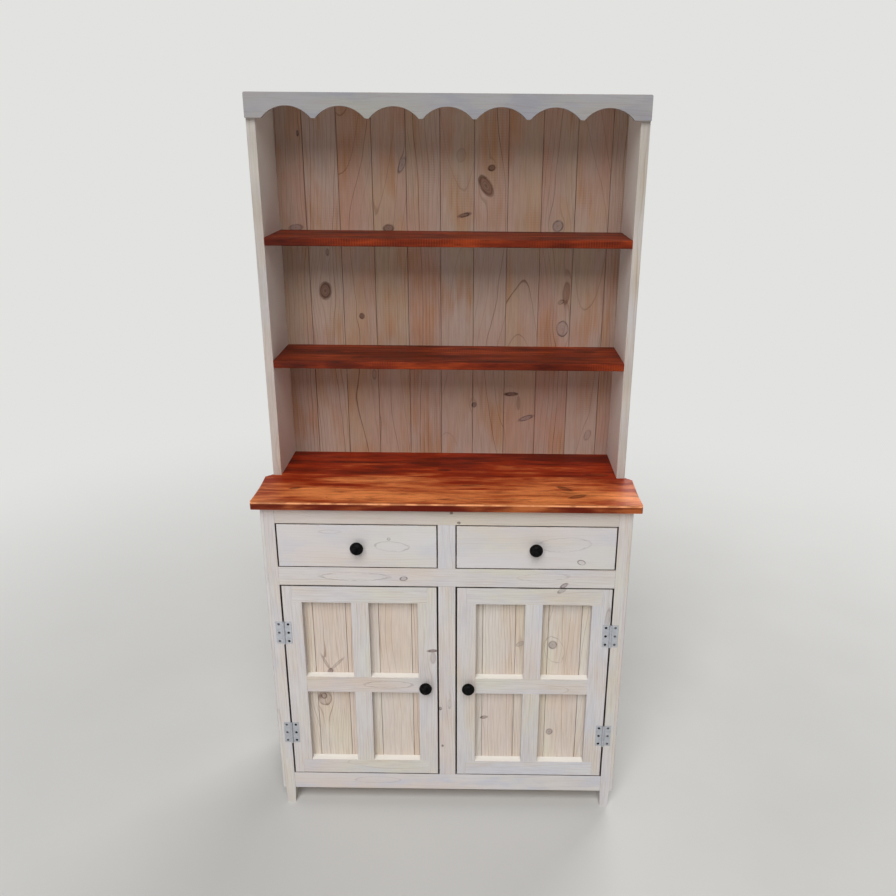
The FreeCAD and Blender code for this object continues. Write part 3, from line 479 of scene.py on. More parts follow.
def knot_marks(heart, radius, darkness, fill, wobble):
    """The dark lines of a knot, its bark, its rings and its pith, and the tint of its heart."""
    inside = heart.spread(1.06, 0.84)
    off_rim = (heart - 1.0).function("ABSOLUTE") * radius
    width = radius * fill * 0.16 + 0.7 * MM
    bark = (off_rim / width).spread(1.7, 0.4) * wobble.spread(-0.07, 0.05, 0.35, 1.0)
    turns = (heart * 17.0).function("SINE").spread(0.0, 1.0, 0.0, 0.55)
    pith = heart.spread(0.40, 0.05, 0.0, 0.9)
    within = turns.most(pith) * inside * fill
    body = inside * fill * heart.spread(0.1, 1.1, 0.65, 1.0)
    return bark.most(within) * darkness, body


@made_once("node_groups", "Placed knot")
def placed_knot_group(name):
    """Adds one knot at a chosen place to what the knots before it give."""
    inputs = [(label, NUMBER) for label in ("Along", "Across", "Wobble", "Knot along", "Knot across",
                                            "Radius", "Stretch", "Cosine", "Sine", "Darkness", "Fill",
                                            "Redness") + KNOT_MARKS]
    outputs = [(label, NUMBER) for label in KNOT_MARKS]
    tree, wiring, given, result = group_tree(name, "ShaderNodeTree", inputs, outputs)
    along = given["Along"] - given["Knot along"]
    across = given["Across"] - given["Knot across"]
    cosine, sine, wobble, fill = [given[label] for label in ("Cosine", "Sine", "Wobble", "Fill")]
    radius, stretch = given["Radius"], given["Stretch"]
    long_way = along * cosine + across * sine
    short_way = across * cosine - along * sine
    heart = knot_heart(long_way, short_way, radius, stretch, wobble)
    lines, body = knot_marks(heart, radius, given["Darkness"], fill, wobble)
    near = knot_reach(along, across, radius, stretch) * fill.spread(0.0, 0.2)
    red = heart.spread(1.35, 1.15) * given["Redness"]
    wiring.feed(result, 0, given["Pull"] - across * near)
    for place, value in enumerate((lines, body, red, near), 1):
        wiring.feed(result, place, given[KNOT_MARKS[place]].most(value))
    return tree


@made_once("node_groups", "Pine figure")
def pine_figure_group(name):
    """Growth rings, fibre, patches and chance knots of a sawn board, from its grain coordinate."""
    inputs = [("Grain", TRIPLE), ("Pull", NUMBER), ("Ring width", NUMBER), ("Knot chance", NUMBER)]
    outputs = [(label, NUMBER) for label in ("Ring", "Fibre", "Streak", "Patch", "Tint", "Lines", "Body",
                                             "Red")]
    tree, wiring, given, result = group_tree(name, "ShaderNodeTree", inputs, outputs)
    grain = given["Grain"]
    along, across, through = wiring.split(grain)

    cell_length, cell_width = KNOT_CELL
    cells = wiring.node("ShaderNodeTexVoronoi", {
        "Vector": wiring.join(along / cell_length, across / cell_width, 0.0), "Scale": 1.0,
        "Randomness": 0.85}, voronoi_dimensions="2D")
    middle = wiring.split(cells["Position"])
    drawn = wiring.split(cells["Color"])
    size = drawn[1]
    from_knot = (along - middle[0] * cell_length, across - middle[1] * cell_width)
    present = wiring.math("GREATER_THAN", given["Knot chance"], drawn[0])
    radius = size * 0.006 + 0.003
    wobble = (wiring.noise(grain, 90.0) - 0.5) * 0.35
    heart = knot_heart(*from_knot, radius, CHANCE_STRETCH, wobble)
    lines, body = knot_marks(heart, radius, present * 0.6, present * 0.5, wobble)
    near = knot_reach(*from_knot, radius, CHANCE_STRETCH) * present

    drift = wiring.split(wiring.drawn_out(grain, 1.3, 4.0, 1.0)["Color"])
    sway = wiring.drawn_out(grain, 9.0, 7.0, 1.0)
    bent = across + given["Pull"] - from_knot[1] * near
    bent = bent + (drift[0] - 0.5) * 0.060 + (sway - 0.5) * 0.010
    from_pith = distance(bent, through + (drift[1] - 0.5) * 0.070)
    steep = distance(bent / from_pith, 0.14)
    waver = (wiring.drawn_out(grain, 14.0, 60.0) - 0.5) * 0.34
    phase = from_pith / given["Ring width"] + waver * steep
    place = phase.function("FRACT")
    onset, peak, end = [1.0 - steep * share for share in (0.30, 0.10, 0.04)]
    late = place.spread(onset, peak) * place.spread(1.0, end)
    year = wiring.node("ShaderNodeTexWhiteNoise", {"W": phase.function("FLOOR")}, noise_dimensions="1D")
    results = (late * (year * year * 0.75 + 0.25),
               wiring.drawn_out(grain, 16.0, 560.0, 3.0), wiring.drawn_out(grain, 4.0, 170.0, 3.0, 0.6),
               wiring.drawn_out(grain, 2.6, 9.0), wiring.drawn_out(grain, 1.7, 5.0, 1.0),
               lines, body, present * size.spread(0.2, 0.8))
    for socket, value in enumerate(results):
        wiring.feed(result, socket, value)
    return tree


UPRIGHT = (2, 0)                 # grain runs along Z and across X
LYING = (0, 2)                   # grain runs along X and across Z
FLAT = (0, 1)                    # grain runs along X and across Y
CHATTER_STEP = 6.0 * MM
LINE_STRENGTH = {"frame": 0.22, "pane": 0.50, "hutch": 0.70}
WORN = {"frame": (0.14, 0.48), "pane": (0.14, 0.46), "hutch": (0.25, 0.65)}


class WoodSurface:
    """What every wooden finish starts from: the figure, the knots, the tone, and the rounded edges that show
    wear and, on stained wood, a painted highlight.
    """

    def __init__(self, name, ring_width, knots=(), knot_plane=UPRIGHT, knot_chance=0.0):
        self.material, self.wiring, self.shader = new_material(name)
        wiring = self.wiring
        self.grain = wiring.attribute("grain")["Vector"]
        self.tone, self.edge, self.mark = [
            wiring.attribute(label)["Fac"] for label in ("tone", "edge", "joint")]
        chain = dict.fromkeys(KNOT_MARKS, 0.0)
        if knots:
            places = wiring.split(wiring.place())
            wobble = (wiring.noise(self.grain, 70.0) - 0.5) * 0.40
        for along, across, radius, stretch, turn, darkness, fill, redness in knots:
            made = wiring.node("ShaderNodeGroup", {
                "Along": places[knot_plane[0]], "Across": places[knot_plane[1]], "Wobble": wobble,
                "Knot along": along, "Knot across": across, "Radius": radius, "Stretch": stretch,
                "Cosine": math.cos(math.radians(turn)), "Sine": math.sin(math.radians(turn)),
                "Darkness": darkness, "Fill": fill, "Redness": redness, **chain},
                node_tree=placed_knot_group())
            chain = {label: made[label] for label in chain}
        figure = wiring.node("ShaderNodeGroup", {
            "Grain": self.grain, "Pull": chain["Pull"], "Ring width": ring_width, "Knot chance": knot_chance},
            node_tree=pine_figure_group())
        self.ring, self.fibre, self.streak, self.patch, self.tint = [
            figure[label] for label in ("Ring", "Fibre", "Streak", "Patch", "Tint")]
        self.knot_lines, self.knot, self.red = [
            figure[label].most(chain[label]) for label in ("Lines", "Body", "Red")]
        self.near = chain["Near"]
        self.joint = self.mark.most(0.0)

    def chatter(self, strength):
        """Fine marks across the grain in places, left by a planer."""
        if not strength:
            return 0.0
        along = self.wiring.split(self.grain)[0]
        wave = (along * (2 * math.pi / CHATTER_STEP)).function("SINE").spread(-0.2, 0.9)
        where = self.wiring.drawn_out(self.grain, 5.0, 13.0, 1.0)
        return wave * where.spread(0.54, 0.66) * strength

    def finish(self, colour, roughness, gloss, depth):
        height = self.ring * 0.55 + self.fibre * 0.6 + self.knot_lines * -0.5
        self.wiring.dress(self.shader, colour, roughness, gloss, (height, 0.5, depth))
        return self.material


def limed_pine(name, look, knots=(), knot_plane=UPRIGHT, knot_chance=0.0, dim=1.0, haze=0.5, rings=1.0,
               seams=(0.5, 0.9), chatter=0.0, figure=1.0, bare=0.0):
    """Whitewashed pine. look picks the colours and dim darkens them all, which paints shade where it is below
    one.
    haze is how much of the whitewash lies thick and cool, rings the width of the growth rings beside the usual
    one, seams the least and the most dirt and painted shade in a joint or gap, chatter how strong the planer
    marks are, figure how much of the grain shows through, and bare how far the wood warms the whole piece,
    which on the top rail and the hutch sides paints warm shade and warm bounce light."""
    finishes = bpy.context.scene.cupboard_finishes
    main, cream, rose, cool, warm, grain = [
        [dim * value for value in getattr(finishes, f"{look}_{part}")]
        for part in ("main", "cream", "rose", "haze", "warm", "grain")]
    wood = WoodSurface(name, finishes.ring_width * rings, knots, knot_plane, knot_chance)
    wiring = wood.wiring
    brushed = wiring.drawn_out(wood.grain, 8.0, 21.0, 4.0, 0.6)
    thin = wiring.drawn_out(wood.grain, 5.0, 14.0, 3.0).spread(0.44, 0.70)
    rubbed = wiring.noise(wood.grain, 38.0, 3.0).spread(0.44, 0.62)
    uneven = wiring.drawn_out(wood.grain, 9.0, 3.0, 3.0)
    worn = [share * figure for share in WORN[look]]
    lines = (thin * 0.30 + (wood.near * 0.30 + LINE_STRENGTH[look])) * figure
    heart = wiring.mix(wood.red, finishes.knot_grey, finishes.knot_brown)
    dirt_and_shade = finishes.gap if look == "frame" else finishes.groove
    colour = wiring.coated(
        main,
        (wood.patch.spread(0.44, 0.66), cream),
        (wood.tint.spread(0.50, 0.68), rose),
        (brushed.spread(0.44, 0.66, 0.0, haze), cool),
        (thin * wood.streak.spread(0.34, 0.64, *worn), warm),
        (wood.tone * 0.15 + bare, warm),
        (wood.ring * lines, grain),
        (wood.streak.spread(0.56, 0.80) * (thin * (0.25 * figure) + 0.10 * figure), grain),
        (wood.fibre.spread(0.58, 0.36, 0.0, 0.16 * figure), grain),
        (wood.chatter(chatter), grain),
        (wood.knot * 0.90, heart),
        (wood.knot_lines * 0.90, wiring.mix(0.7, heart, finishes.knot_rim)),
        (wood.edge * rubbed * 0.60, finishes.raw_edge),
        # Painted shade with dirt in the grooves, and painted shade with grime on faces that look into a gap.
        (wood.joint * uneven.spread(0.36, 0.60, *seams), dirt_and_shade),
        # Painted highlight where a face is marked below zero.
        ((wood.mark * -0.85).most(0.0), finishes.pooled))
    return wood.finish(colour, wood.streak.spread(0.25, 0.80, 0.62, 0.82), 0.10, 0.35 * MM)


def stained_pine(name, look, knots, knot_plane=FLAT, chatter=0.0):
    """Pine under a red-brown stain and a satin varnish, paler along its rounded edges: rubbed there, and with
    a painted highlight.
    """
    finishes = bpy.context.scene.cupboard_finishes
    wood = WoodSurface(name, finishes.ring_width, knots, knot_plane, 0.04)
    wiring = wood.wiring
    light, middle, deep = [getattr(finishes, f"{look}_{part}") for part in ("light", "middle", "deep")]
    pool = finishes.stain_pool
    blotch = wiring.drawn_out(wood.grain, 5.0, 26.0, 3.0, 0.58)
    # Tone and blotches: stain, and on the worktop also painted shade towards the back.
    stain_and_shade = wood.tone * 0.50 + blotch
    fine = wiring.drawn_out(wood.grain, 13.0, 95.0, 5.0, 0.72)
    rubbed = wiring.noise(wood.grain, 30.0, 3.0).spread(0.38, 0.60, 0.45, 0.95)
    colour = wiring.coated(
        light,
        (stain_and_shade.spread(0.42, 0.80), middle),
        (stain_and_shade.spread(0.70, 1.06), deep),
        (wood.ring * 0.38, deep),
        (wood.streak.spread(0.50, 0.74, 0.0, 0.42), deep),
        (fine.spread(0.51, 0.69, 0.0, 0.54), deep),
        (fine.spread(0.47, 0.34, 0.0, 0.50) * stain_and_shade.spread(0.88, 0.56, 0.10, 1.0), light),
        (wiring.drawn_out(wood.grain, 60.0, 900.0).spread(0.48, 0.68, 0.0, 0.24), deep),
        (wood.chatter(chatter), light),
        (wiring.drawn_out(wood.grain, 6.0, 17.0).spread(0.60, 0.78, 0.0, 0.50), pool),
        (wood.knot * 0.75, pool),
        (wood.knot_lines * 0.80, pool),
        # Painted shade, mottled, on the faces that are marked as upright.
        (wood.joint * blotch.spread(0.36, 0.60, 0.60, 0.95), deep),
        # Rubbed stain and a painted highlight along the rounded edges.
        (wood.edge * rubbed, finishes.stain_edge_highlight))
    wood.shader.inputs["Coat Weight"].default_value = 0.03
    wood.shader.inputs["Coat Roughness"].default_value = 0.28
    return wood.finish(colour, wood.streak.spread(0.30, 0.75, 0.40, 0.56), 0.08, 0.20 * MM)


@made_once("materials", "Bare pine")
def bare_pine(name):
    """Planed pine with nothing on it."""
    finishes = bpy.context.scene.cupboard_finishes
    wood = WoodSurface(name, finishes.ring_width, knot_chance=0.14)
    dark = finishes.bare_grain
    colour = wood.wiring.coated(
        finishes.bare_light,
        (wood.ring * 0.75, dark),
        (wood.patch.spread(0.45, 0.75, 0.0, 0.35), dark),
        (wood.fibre.spread(0.60, 0.30, 0.0, 0.20), dark),
        (wood.tone * 0.20, dark),
        (wood.knot * 0.8, finishes.knot_brown),
        (wood.knot_lines * 0.7, finishes.knot_rim))
    return wood.finish(colour, wood.streak.spread(0.30, 0.75, 0.62, 0.80), 0.20, 0.30 * MM)


@made_once("materials", "Plywood")
def plywood(name):
    """Thin birch plywood with wide, quiet figure."""
    finishes = bpy.context.scene.cupboard_finishes
    wood = WoodSurface(name, 3 * finishes.ring_width)
    dark = finishes.bare_grain
    colour = wood.wiring.coated(
        finishes.bare_light,
        (wood.ring * 0.35, dark),
        (wood.patch.spread(0.40, 0.80, 0.0, 0.30), dark),
        (wood.fibre.spread(0.65, 0.30, 0.0, 0.25), dark))
    return wood.finish(colour, wood.streak.spread(0.3, 0.7, 0.55, 0.70), 0.20, 0.12 * MM)


# Finishes without grain: the colour's name, how metallic, least and most rough, how clouded, how scuffed,
# and how glossy.
SMOOTH_FINISHES = {
    "Zinc plate": ("zinc", 0.55, 0.38, 0.52, 0.18, 0.08, 0.5),
    "Screw steel": ("steel", 0.9, 0.32, 0.48, 0.45, 0.12, 0.5),
    "Dull steel": ("dull_steel", 0.8, 0.40, 0.55, 0.45, 0.12, 0.5),
    "Knob lacquer": ("knob_black", 0.0, 0.26, 0.40, 0.4, 0.08, 0.04),
    "Catch plastic": ("plastic", 0.0, 0.42, 0.55, 0.12, 0.05, 0.5),
}


def smooth(name):
    """Lacquer, plating or plastic: an even colour, clouded and scuffed a little."""
    if name in bpy.data.materials:
        return bpy.data.materials[name]
    paint_name, metallic, least_rough, most_rough, mottle, scratch, gloss = SMOOTH_FINISHES[name]
    colour = getattr(bpy.context.scene.cupboard_finishes, paint_name)
    material, wiring, shader = new_material(name)
    place = wiring.place()
    cloud = wiring.noise(place, 160.0, 3.0)
    scuff = wiring.drawn_out(place, 2600.0, 420.0)
    worn = [min(1.0, value * (1 - mottle) + 0.02 * mottle) for value in colour]
    tinted = wiring.mix(cloud.spread(0.30, 0.75), colour, worn)
    rough = cloud.spread(0.3, 0.7, least_rough, most_rough) + scuff * scratch
    shader.inputs["Metallic"].default_value = metallic
    wiring.dress(shader, tinted, rough, gloss, (cloud + scuff * 0.6, 0.25, 0.05 * MM))
    return material


# -------------------------------------------------------------------------------- shaping of meshes
JOIN_DISTANCE = 0.01 * MM
FLAT_ANGLE = math.radians(0.6)
ARRIS_ANGLE = math.radians(30)
SHARP_ANGLE = math.radians(38)
LEAST_EDGE = 3.0 * MM
SQUARE_ON = 0.95                # how squarely a face has to look a given way
ROUNDED = 0.3                   # the same where the rounding beside it counts too
# Share of the gap colour, painted shade and grime, on faces that look into a gap.
GAP_SHADE_AND_GRIME = 1.0
CASE_OPENING = 420.0 * MM       # half the width of the openings in the front of the base
CASE_OPENING_LOW = 90.0 * MM
DRAWERS_LOW = 690.0 * MM        # a height between the doors and the drawers


def loose_solids(mesh):
    """The vertices of each separate solid in the mesh."""
    mesh.verts.index_update()
    seen = [False] * len(mesh.verts)
    found = []
    for first in mesh.verts:
        if seen[first.index]:
            continue
        seen[first.index] = True
        waiting, members = [first], []
        while waiting:
            vertex = waiting.pop()
            members.append(vertex)
            for edge in vertex.link_edges:
                other = edge.other_vert(vertex)
                if not seen[other.index]:
                    seen[other.index] = True
                    waiting.append(other)
        found.append(members)
    return found


def extent(vertices):
    lows = Vector([min(v.co[i] for v in vertices) for i in range(3)])
    highs = Vector([max(v.co[i] for v in vertices) for i in range(3)])
    return lows, highs


def grain_axes(low, high):
    """The axes along, across and through a board: its longest, its next and its shortest."""
    size = high - low
    return sorted(range(3), key=lambda axis: -size[axis])


def ease_edges(mesh, edges, width, segments=3):
    """Rounds these edges and marks the middle of each rounding, where an edge gets rubbed and where a stained
    finish paints a highlight.
    """
    rubbed = mesh.verts.layers.float.get("edge") or mesh.verts.layers.float.new("edge")
    if not edges:
        return
    made = bmesh.ops.bevel(mesh, geom=edges, offset=width, offset_type="OFFSET", segments=segments,
                           profile=0.5, affect="EDGES", clamp_overlap=False)
    rounded = set(made["faces"])
    for vertex in made["verts"]:
        if vertex.is_valid and all(face in rounded for face in vertex.link_faces):
            vertex[rubbed] = 1.0


def sharp_arrises(mesh, along_only):
    """The outer edges to ease. along_only leaves the ends of each board crisp."""
    chosen = []
    for members in loose_solids(mesh):
        along = grain_axes(*extent(members))[0]
        done = set()
        for vertex in members:
            for edge in vertex.link_edges:
                if edge.index in done or len(edge.link_faces) != 2:
                    continue
                done.add(edge.index)
                run = edge.verts[1].co - edge.verts[0].co
                if run.length < LEAST_EDGE or not edge.is_convex:
                    continue
                if edge.calc_face_angle() < ARRIS_ANGLE:
                    continue
                if along_only and abs(run[along]) < 0.8 * run.length:
                    continue
                chosen.append(edge)
    return chosen


def store_grain(mesh, seed, quarter_sawn=0.35):
    """Gives every solid its own cut from the log: a grain coordinate in metres and a tone."""
    grain = mesh.verts.layers.float_vector.new("grain")
    tone = mesh.verts.layers.float.new("tone")
    draw = random.Random(seed)
    for members in loose_solids(mesh):
        low, high = extent(members)
        along, across, through = grain_axes(low, high)
        middle = (low + high) / 2
        if draw.random() < quarter_sawn:
            pith = Vector((0, draw.choice((-1, 1)) * draw.uniform(0.09, 0.16), draw.uniform(0.0, 0.03)))
        else:
            pith = Vector((0, draw.uniform(-0.04, 0.04), draw.uniform(0.03, 0.09)))
        start = draw.uniform(0.0, 9.0)
        solid_tone = draw.random()
        for vertex in members:
            place = vertex.co - middle
            vertex[grain] = Vector((place[along] + start, place[across], place[through])) + pith
            vertex[tone] = solid_tone


def shaded(mesh):
    """Smooth roundings with crisp corners."""
    for face in mesh.faces:
        face.smooth = True
    for edge in mesh.edges:
        edge.smooth = len(edge.link_faces) == 2 and edge.calc_face_angle() < SHARP_ANGLE


def plain_mesh(mesh, name):
    """A bmesh as mesh data, with the flat faces kept flat beside their rounded edges."""
    data = bpy.data.meshes.new(name)
    mesh.to_mesh(data)
    mesh.free()
    holder = show(name + "_holder", data)
    levelling = holder.modifiers.new("Flat faces", "WEIGHTED_NORMAL")
    levelling.keep_sharp = True
    return settled(holder, name)


def show(name, data):
    piece = bpy.data.objects.new(name, data)
    bpy.context.scene.collection.objects.link(piece)
    return piece


def settled(holder, name):
    """The mesh of an object with its modifiers worked out. The object itself is cleared away."""
    graph = bpy.context.evaluated_depsgraph_get()
    data = bpy.data.meshes.new_from_object(holder.evaluated_get(graph), preserve_all_data_layers=True,
                                           depsgraph=graph)
    data.name = name
    old = holder.data
    bpy.data.objects.remove(holder)
    bpy.data.meshes.remove(old)
    return data


def fit(name, data, material, body, slot, *nodes):
    """Puts a finished mesh in its place on a body, in its finish, for the frame nodes it stands for."""
    piece = show(name, data)
    data.materials.clear()
    data.materials.append(material)
    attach(piece, body)
    if nodes:
        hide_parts(*nodes)
    return piece


def whole_faces(mesh):
    """Turns loose triangles into whole flat faces."""
    bmesh.ops.remove_doubles(mesh, verts=mesh.verts, dist=JOIN_DISTANCE)
    bmesh.ops.dissolve_limit(mesh, angle_limit=FLAT_ANGLE, verts=mesh.verts, edges=mesh.edges)
    mesh.edges.index_update()


def frame_copy(node):
    """A frame node's solids, ready to be shaped."""
    mesh = bmesh.new()
    mesh.from_mesh(frame["nodes"][node].data)
    whole_faces(mesh)
    return mesh


def body_of(node):
    return frame["nodes"][node]["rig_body"]


def mark_faces(mesh, mark):
    """Stores each face's mark: up to 1 darkens it with painted shade and grime, down to -1 lightens it with a
    painted highlight.
    """
    layer = mesh.faces.layers.float.new("joint")
    for face in mesh.faces:
        face[layer] = mark(face.normal, face.calc_center_median())


def in_openings(normal, centre):
    """Painted shade and grime where the base frame looks into the gaps round the doors and drawers."""
    turned_away = SQUARE_ON if centre.z > DRAWERS_LOW else ROUNDED
    faces_gap = max(abs(normal.x), abs(normal.z)) > turned_away
    return GAP_SHADE_AND_GRIME * (faces_gap and abs(centre.x) < CASE_OPENING and centre.z > CASE_OPENING_LOW)


def round_front(low, high):
    """Painted shade and grime round the outside of a door or drawer front, and a painted highlight on the
    ledges inside it that look up.
    """
    is_door = high.z < DRAWERS_LOW

    def mark(normal, centre):
        to_edge = min(centre.x - low.x, high.x - centre.x, centre.z - low.z, high.z - centre.z)
        if to_edge < 0.1 * MM and abs(normal.y) < 0.1:
            return GAP_SHADE_AND_GRIME
        if is_door and to_edge < 0.6 * MM and abs(normal.y) < SQUARE_ON:
            return GAP_SHADE_AND_GRIME
        # Faces that look up get a painted highlight.
        return -float(normal.z > SQUARE_ON)
    return mark


def plane_wood(node, material, slot, arris, along_only=True, quarter_sawn=0.35, mark=None):
    """One wooden node with eased edges, cut from its own stretch of log."""
    mesh = frame_copy(node)
    ease_edges(mesh, sharp_arrises(mesh, along_only), arris)
    store_grain(mesh, f"{GRAIN_SEED}{node}", quarter_sawn)
    if mark:
        mark_faces(mesh, mark)
    shaded(mesh)
    fit(f"{node}_wood", plain_mesh(mesh, node), material, body_of(node), slot, node)


def dress_metal(node, material, slot, arris):
    """One metal or plastic node with its edges broken."""
    mesh = frame_copy(node)
    ease_edges(mesh, sharp_arrises(mesh, False), arris, 2)
    shaded(mesh)
    fit(f"{node}_dressed", plain_mesh(mesh, node), material, body_of(node), slot, node)


def prism(mesh, outline, low, high):
    """An upright block over a plan outline. Returns its top and bottom faces."""
    lower = [mesh.verts.new((x, y, low)) for x, y in outline]
    upper = [mesh.verts.new((x, y, high)) for x, y in outline]
    bottom = mesh.faces.new(list(reversed(lower)))
    top = mesh.faces.new(upper)
    for index in range(len(outline)):
        after = (index + 1) % len(outline)
        mesh.faces.new((lower[index], lower[after], upper[after], upper[index]))
    return top, bottom


def rounded_corner(x, y, radius, start, steps=7):
    """Points round a corner of a plan outline, starting at this angle and turning to the left."""
    angles = [math.radians(start + 90 * step / steps) for step in range(steps + 1)]
    return [(x + radius * math.cos(angle), y + radius * math.sin(angle)) for angle in angles]


def arc_through(first, middle, last, steps):
    """Points on the circle through three points, after the first and up to the last."""
    (ax, ay), (bx, by), (cx, cy) = first, middle, last
    scale = 2 * (ax * (by - cy) + bx * (cy - ay) + cx * (ay - by))
    squares = (ax * ax + ay * ay, bx * bx + by * by, cx * cx + cy * cy)
    x = (squares[0] * (by - cy) + squares[1] * (cy - ay) + squares[2] * (ay - by)) / scale
    y = (squares[0] * (cx - bx) + squares[1] * (ax - cx) + squares[2] * (bx - ax)) / scale
    radius = math.hypot(ax - x, ay - y)
    start, via, end = [math.atan2(py - y, px - x) for px, py in (first, middle, last)]
    turn = (end - start) % (2 * math.pi)
    if (via - start) % (2 * math.pi) > turn:
        turn -= 2 * math.pi
    angles = [start + turn * step / steps for step in range(1, steps + 1)]
    return [(x + radius * math.cos(angle), y + radius * math.sin(angle)) for angle in angles]


def turned_mesh(profile, segments):
    """Turns a profile of (radius, depth) points about the Y axis into a closed solid."""
    mesh = bmesh.new()
    points = [mesh.verts.new((radius, depth, 0.0)) for radius, depth in profile]
    edges = [mesh.edges.new(pair) for pair in zip(points, points[1:])]
    bmesh.ops.spin(mesh, geom=points + edges, cent=(0, 0, 0), axis=(0, 1, 0), angle=2 * math.pi,
                   steps=segments, use_merge=True)
    bmesh.ops.remove_doubles(mesh, verts=mesh.verts, dist=JOIN_DISTANCE)
    bmesh.ops.recalc_face_normals(mesh, faces=mesh.faces)
    return mesh


# ----------------------------------------------------------------------------------- geometry nodes
@made_once("node_groups", "Tongue and groove boards")
def boards_tree(name):
    """Lays copies of one tongue-and-groove board side by side and trims the outer two."""
    inputs = (("Board", GEOMETRY), ("Boards", WHOLE), ("First edge", NUMBER), ("Cover", NUMBER),
              ("Left limit", NUMBER), ("Right limit", NUMBER), ("Seed", WHOLE), ("Finish", FINISH))
    tree, wiring, given, result = group_tree(name, "GeometryNodeTree", inputs, (("Boards", GEOMETRY),))
    first, cover, seed = given["First edge"], given["Cover"], given["Seed"]
    laid = wiring.row(given["Board"], given["Boards"], wiring.join(cover, 0.0, 0.0),
                      wiring.join(first, 0.0, 0.0))
    laid = wiring.store(laid, "board", wiring.node("GeometryNodeInputIndex"), "INT", "INSTANCE")
    joined = wiring.node("GeometryNodeRealizeInstances", {"Geometry": laid})
    x, y, z = wiring.split(wiring.node("GeometryNodeInputPosition"))
    kept = wiring.math("MINIMUM", x.most(given["Left limit"]), given["Right limit"])
    trimmed = wiring.node("GeometryNodeSetPosition", {"Geometry": joined,
                                                      "Position": wiring.join(kept, y, z)})
    merged = wiring.node("GeometryNodeMergeByDistance", {"Geometry": trimmed, "Distance": JOIN_DISTANCE})
    number = wiring.node("GeometryNodeInputNamedAttribute", {"Name": "board"}, data_type="INT")
    cut = wiring.node("FunctionNodeRandomValue", {
        "Min": LEAST_PITH, "Max": MOST_PITH, "ID": number, "Seed": seed}, data_type="FLOAT_VECTOR")
    middle = first + (number + 0.5) * cover
    grain = wiring.node("ShaderNodeVectorMath", {0: wiring.join(z, x - middle, y), 1: cut}, operation="ADD")
    tone = wiring.node("FunctionNodeRandomValue", {"ID": number, "Seed": seed + 5}, data_type="FLOAT")
    shape = wiring.store(merged, "grain", grain, "FLOAT_VECTOR")
    wiring.deliver(result, wiring.store(shape, "tone", tone, "FLOAT"), given["Finish"])
    return tree


@made_once("node_groups", "Scalloped board")
def scallops_tree(name):
    """Cuts a row of equal arches into the lower edge of a board."""
    inputs = (("Blank", GEOMETRY), ("Scallops", WHOLE), ("Pitch", NUMBER), ("Rise", NUMBER), ("Tip", NUMBER),
              ("Lower edge", NUMBER), ("Depth", NUMBER), ("Finish", FINISH))
    tree, wiring, given, result = group_tree(name, "GeometryNodeTree", inputs, (("Valance", GEOMETRY),))
    pitch, rise = given["Pitch"], given["Rise"]
    half_chord = (pitch - given["Tip"]) * 0.5
    radius = (half_chord * half_chord + rise * rise) / (rise * 2.0)
    drum = wiring.node("GeometryNodeMeshCylinder", {"Vertices": 160, "Radius": radius, "Depth": 0.1})
    lying = wiring.node("GeometryNodeTransform", {"Geometry": drum, "Rotation": (math.pi / 2, 0.0, 0.0)})
    first = wiring.join((given["Scallops"] - 1.0) * pitch * -0.5, given["Depth"],
                        given["Lower edge"] + rise - radius)
    cut = wiring.node("GeometryNodeMeshBoolean", {
        0: given["Blank"], 1: wiring.row(lying, given["Scallops"], wiring.join(pitch, 0.0, 0.0), first)},
        operation="DIFFERENCE", solver="EXACT")
    wiring.deliver(result, cut, given["Finish"])
    return tree


@made_once("node_groups", "Driven screws")
def screws_tree(name):
    """Cuts a cross recess into one screw and drives copies of it in rows."""
    inputs = (("Screw", GEOMETRY), ("First place", TRIPLE), ("Facing", TRIPLE),
              ("Screws", WHOLE), ("Screw step", TRIPLE), ("Leaves", WHOLE), ("Leaf step", TRIPLE),
              ("Sides", WHOLE), ("Side step", TRIPLE), ("Recess length", NUMBER), ("Recess width", NUMBER),
              ("Recess depth", NUMBER), ("Seed", WHOLE), ("Finish", FINISH))
    tree, wiring, given, result = group_tree(name, "GeometryNodeTree", inputs, (("Screws", GEOMETRY),))
    depth = given["Recess depth"] * 2.0
    cut = wiring.node("GeometryNodeMeshBoolean", {0: given["Screw"]}, operation="DIFFERENCE", solver="EXACT")
    for size in (wiring.join(given["Recess length"], depth, given["Recess width"]),
                 wiring.join(given["Recess width"], depth, given["Recess length"])):
        wiring.feed(cut.made, 1, wiring.node("GeometryNodeMeshCube", {"Size": size}))
    turn = wiring.node("FunctionNodeRandomValue", {"Max": math.pi, "Seed": given["Seed"]}, data_type="FLOAT")
    shape = wiring.row(cut, given["Screws"], given["Screw step"], turn=wiring.join(0.0, turn, 0.0))
    for count, step in (("Leaves", "Leaf step"), ("Sides", "Side step")):
        shape = wiring.row(shape, given[count], given[step])
    put = wiring.node("GeometryNodeTransform", {"Geometry": shape, "Translation": given["First place"],
                                                "Rotation": given["Facing"]})
    wiring.deliver(result, put, given["Finish"])
    return tree


def worked_out(name, mesh, tree, values):
    """The mesh that a node tree makes from a starting shape and these named values."""
    data = bpy.data.meshes.new(name)
    mesh.to_mesh(data)
    mesh.free()
    holder = show(name + "_holder", data)
    modifier = holder.modifiers.new(tree.name, "NODES")
    modifier.node_group = tree
    for item in tree.interface.items_tree:
        if item.in_out == "INPUT" and item.name in values:
            modifier[item.identifier] = values[item.name]
    return from_mesh(settled(holder, name))


def from_mesh(data):
    mesh = bmesh.new()
    mesh.from_mesh(data)
    bpy.data.meshes.remove(data)
    return mesh


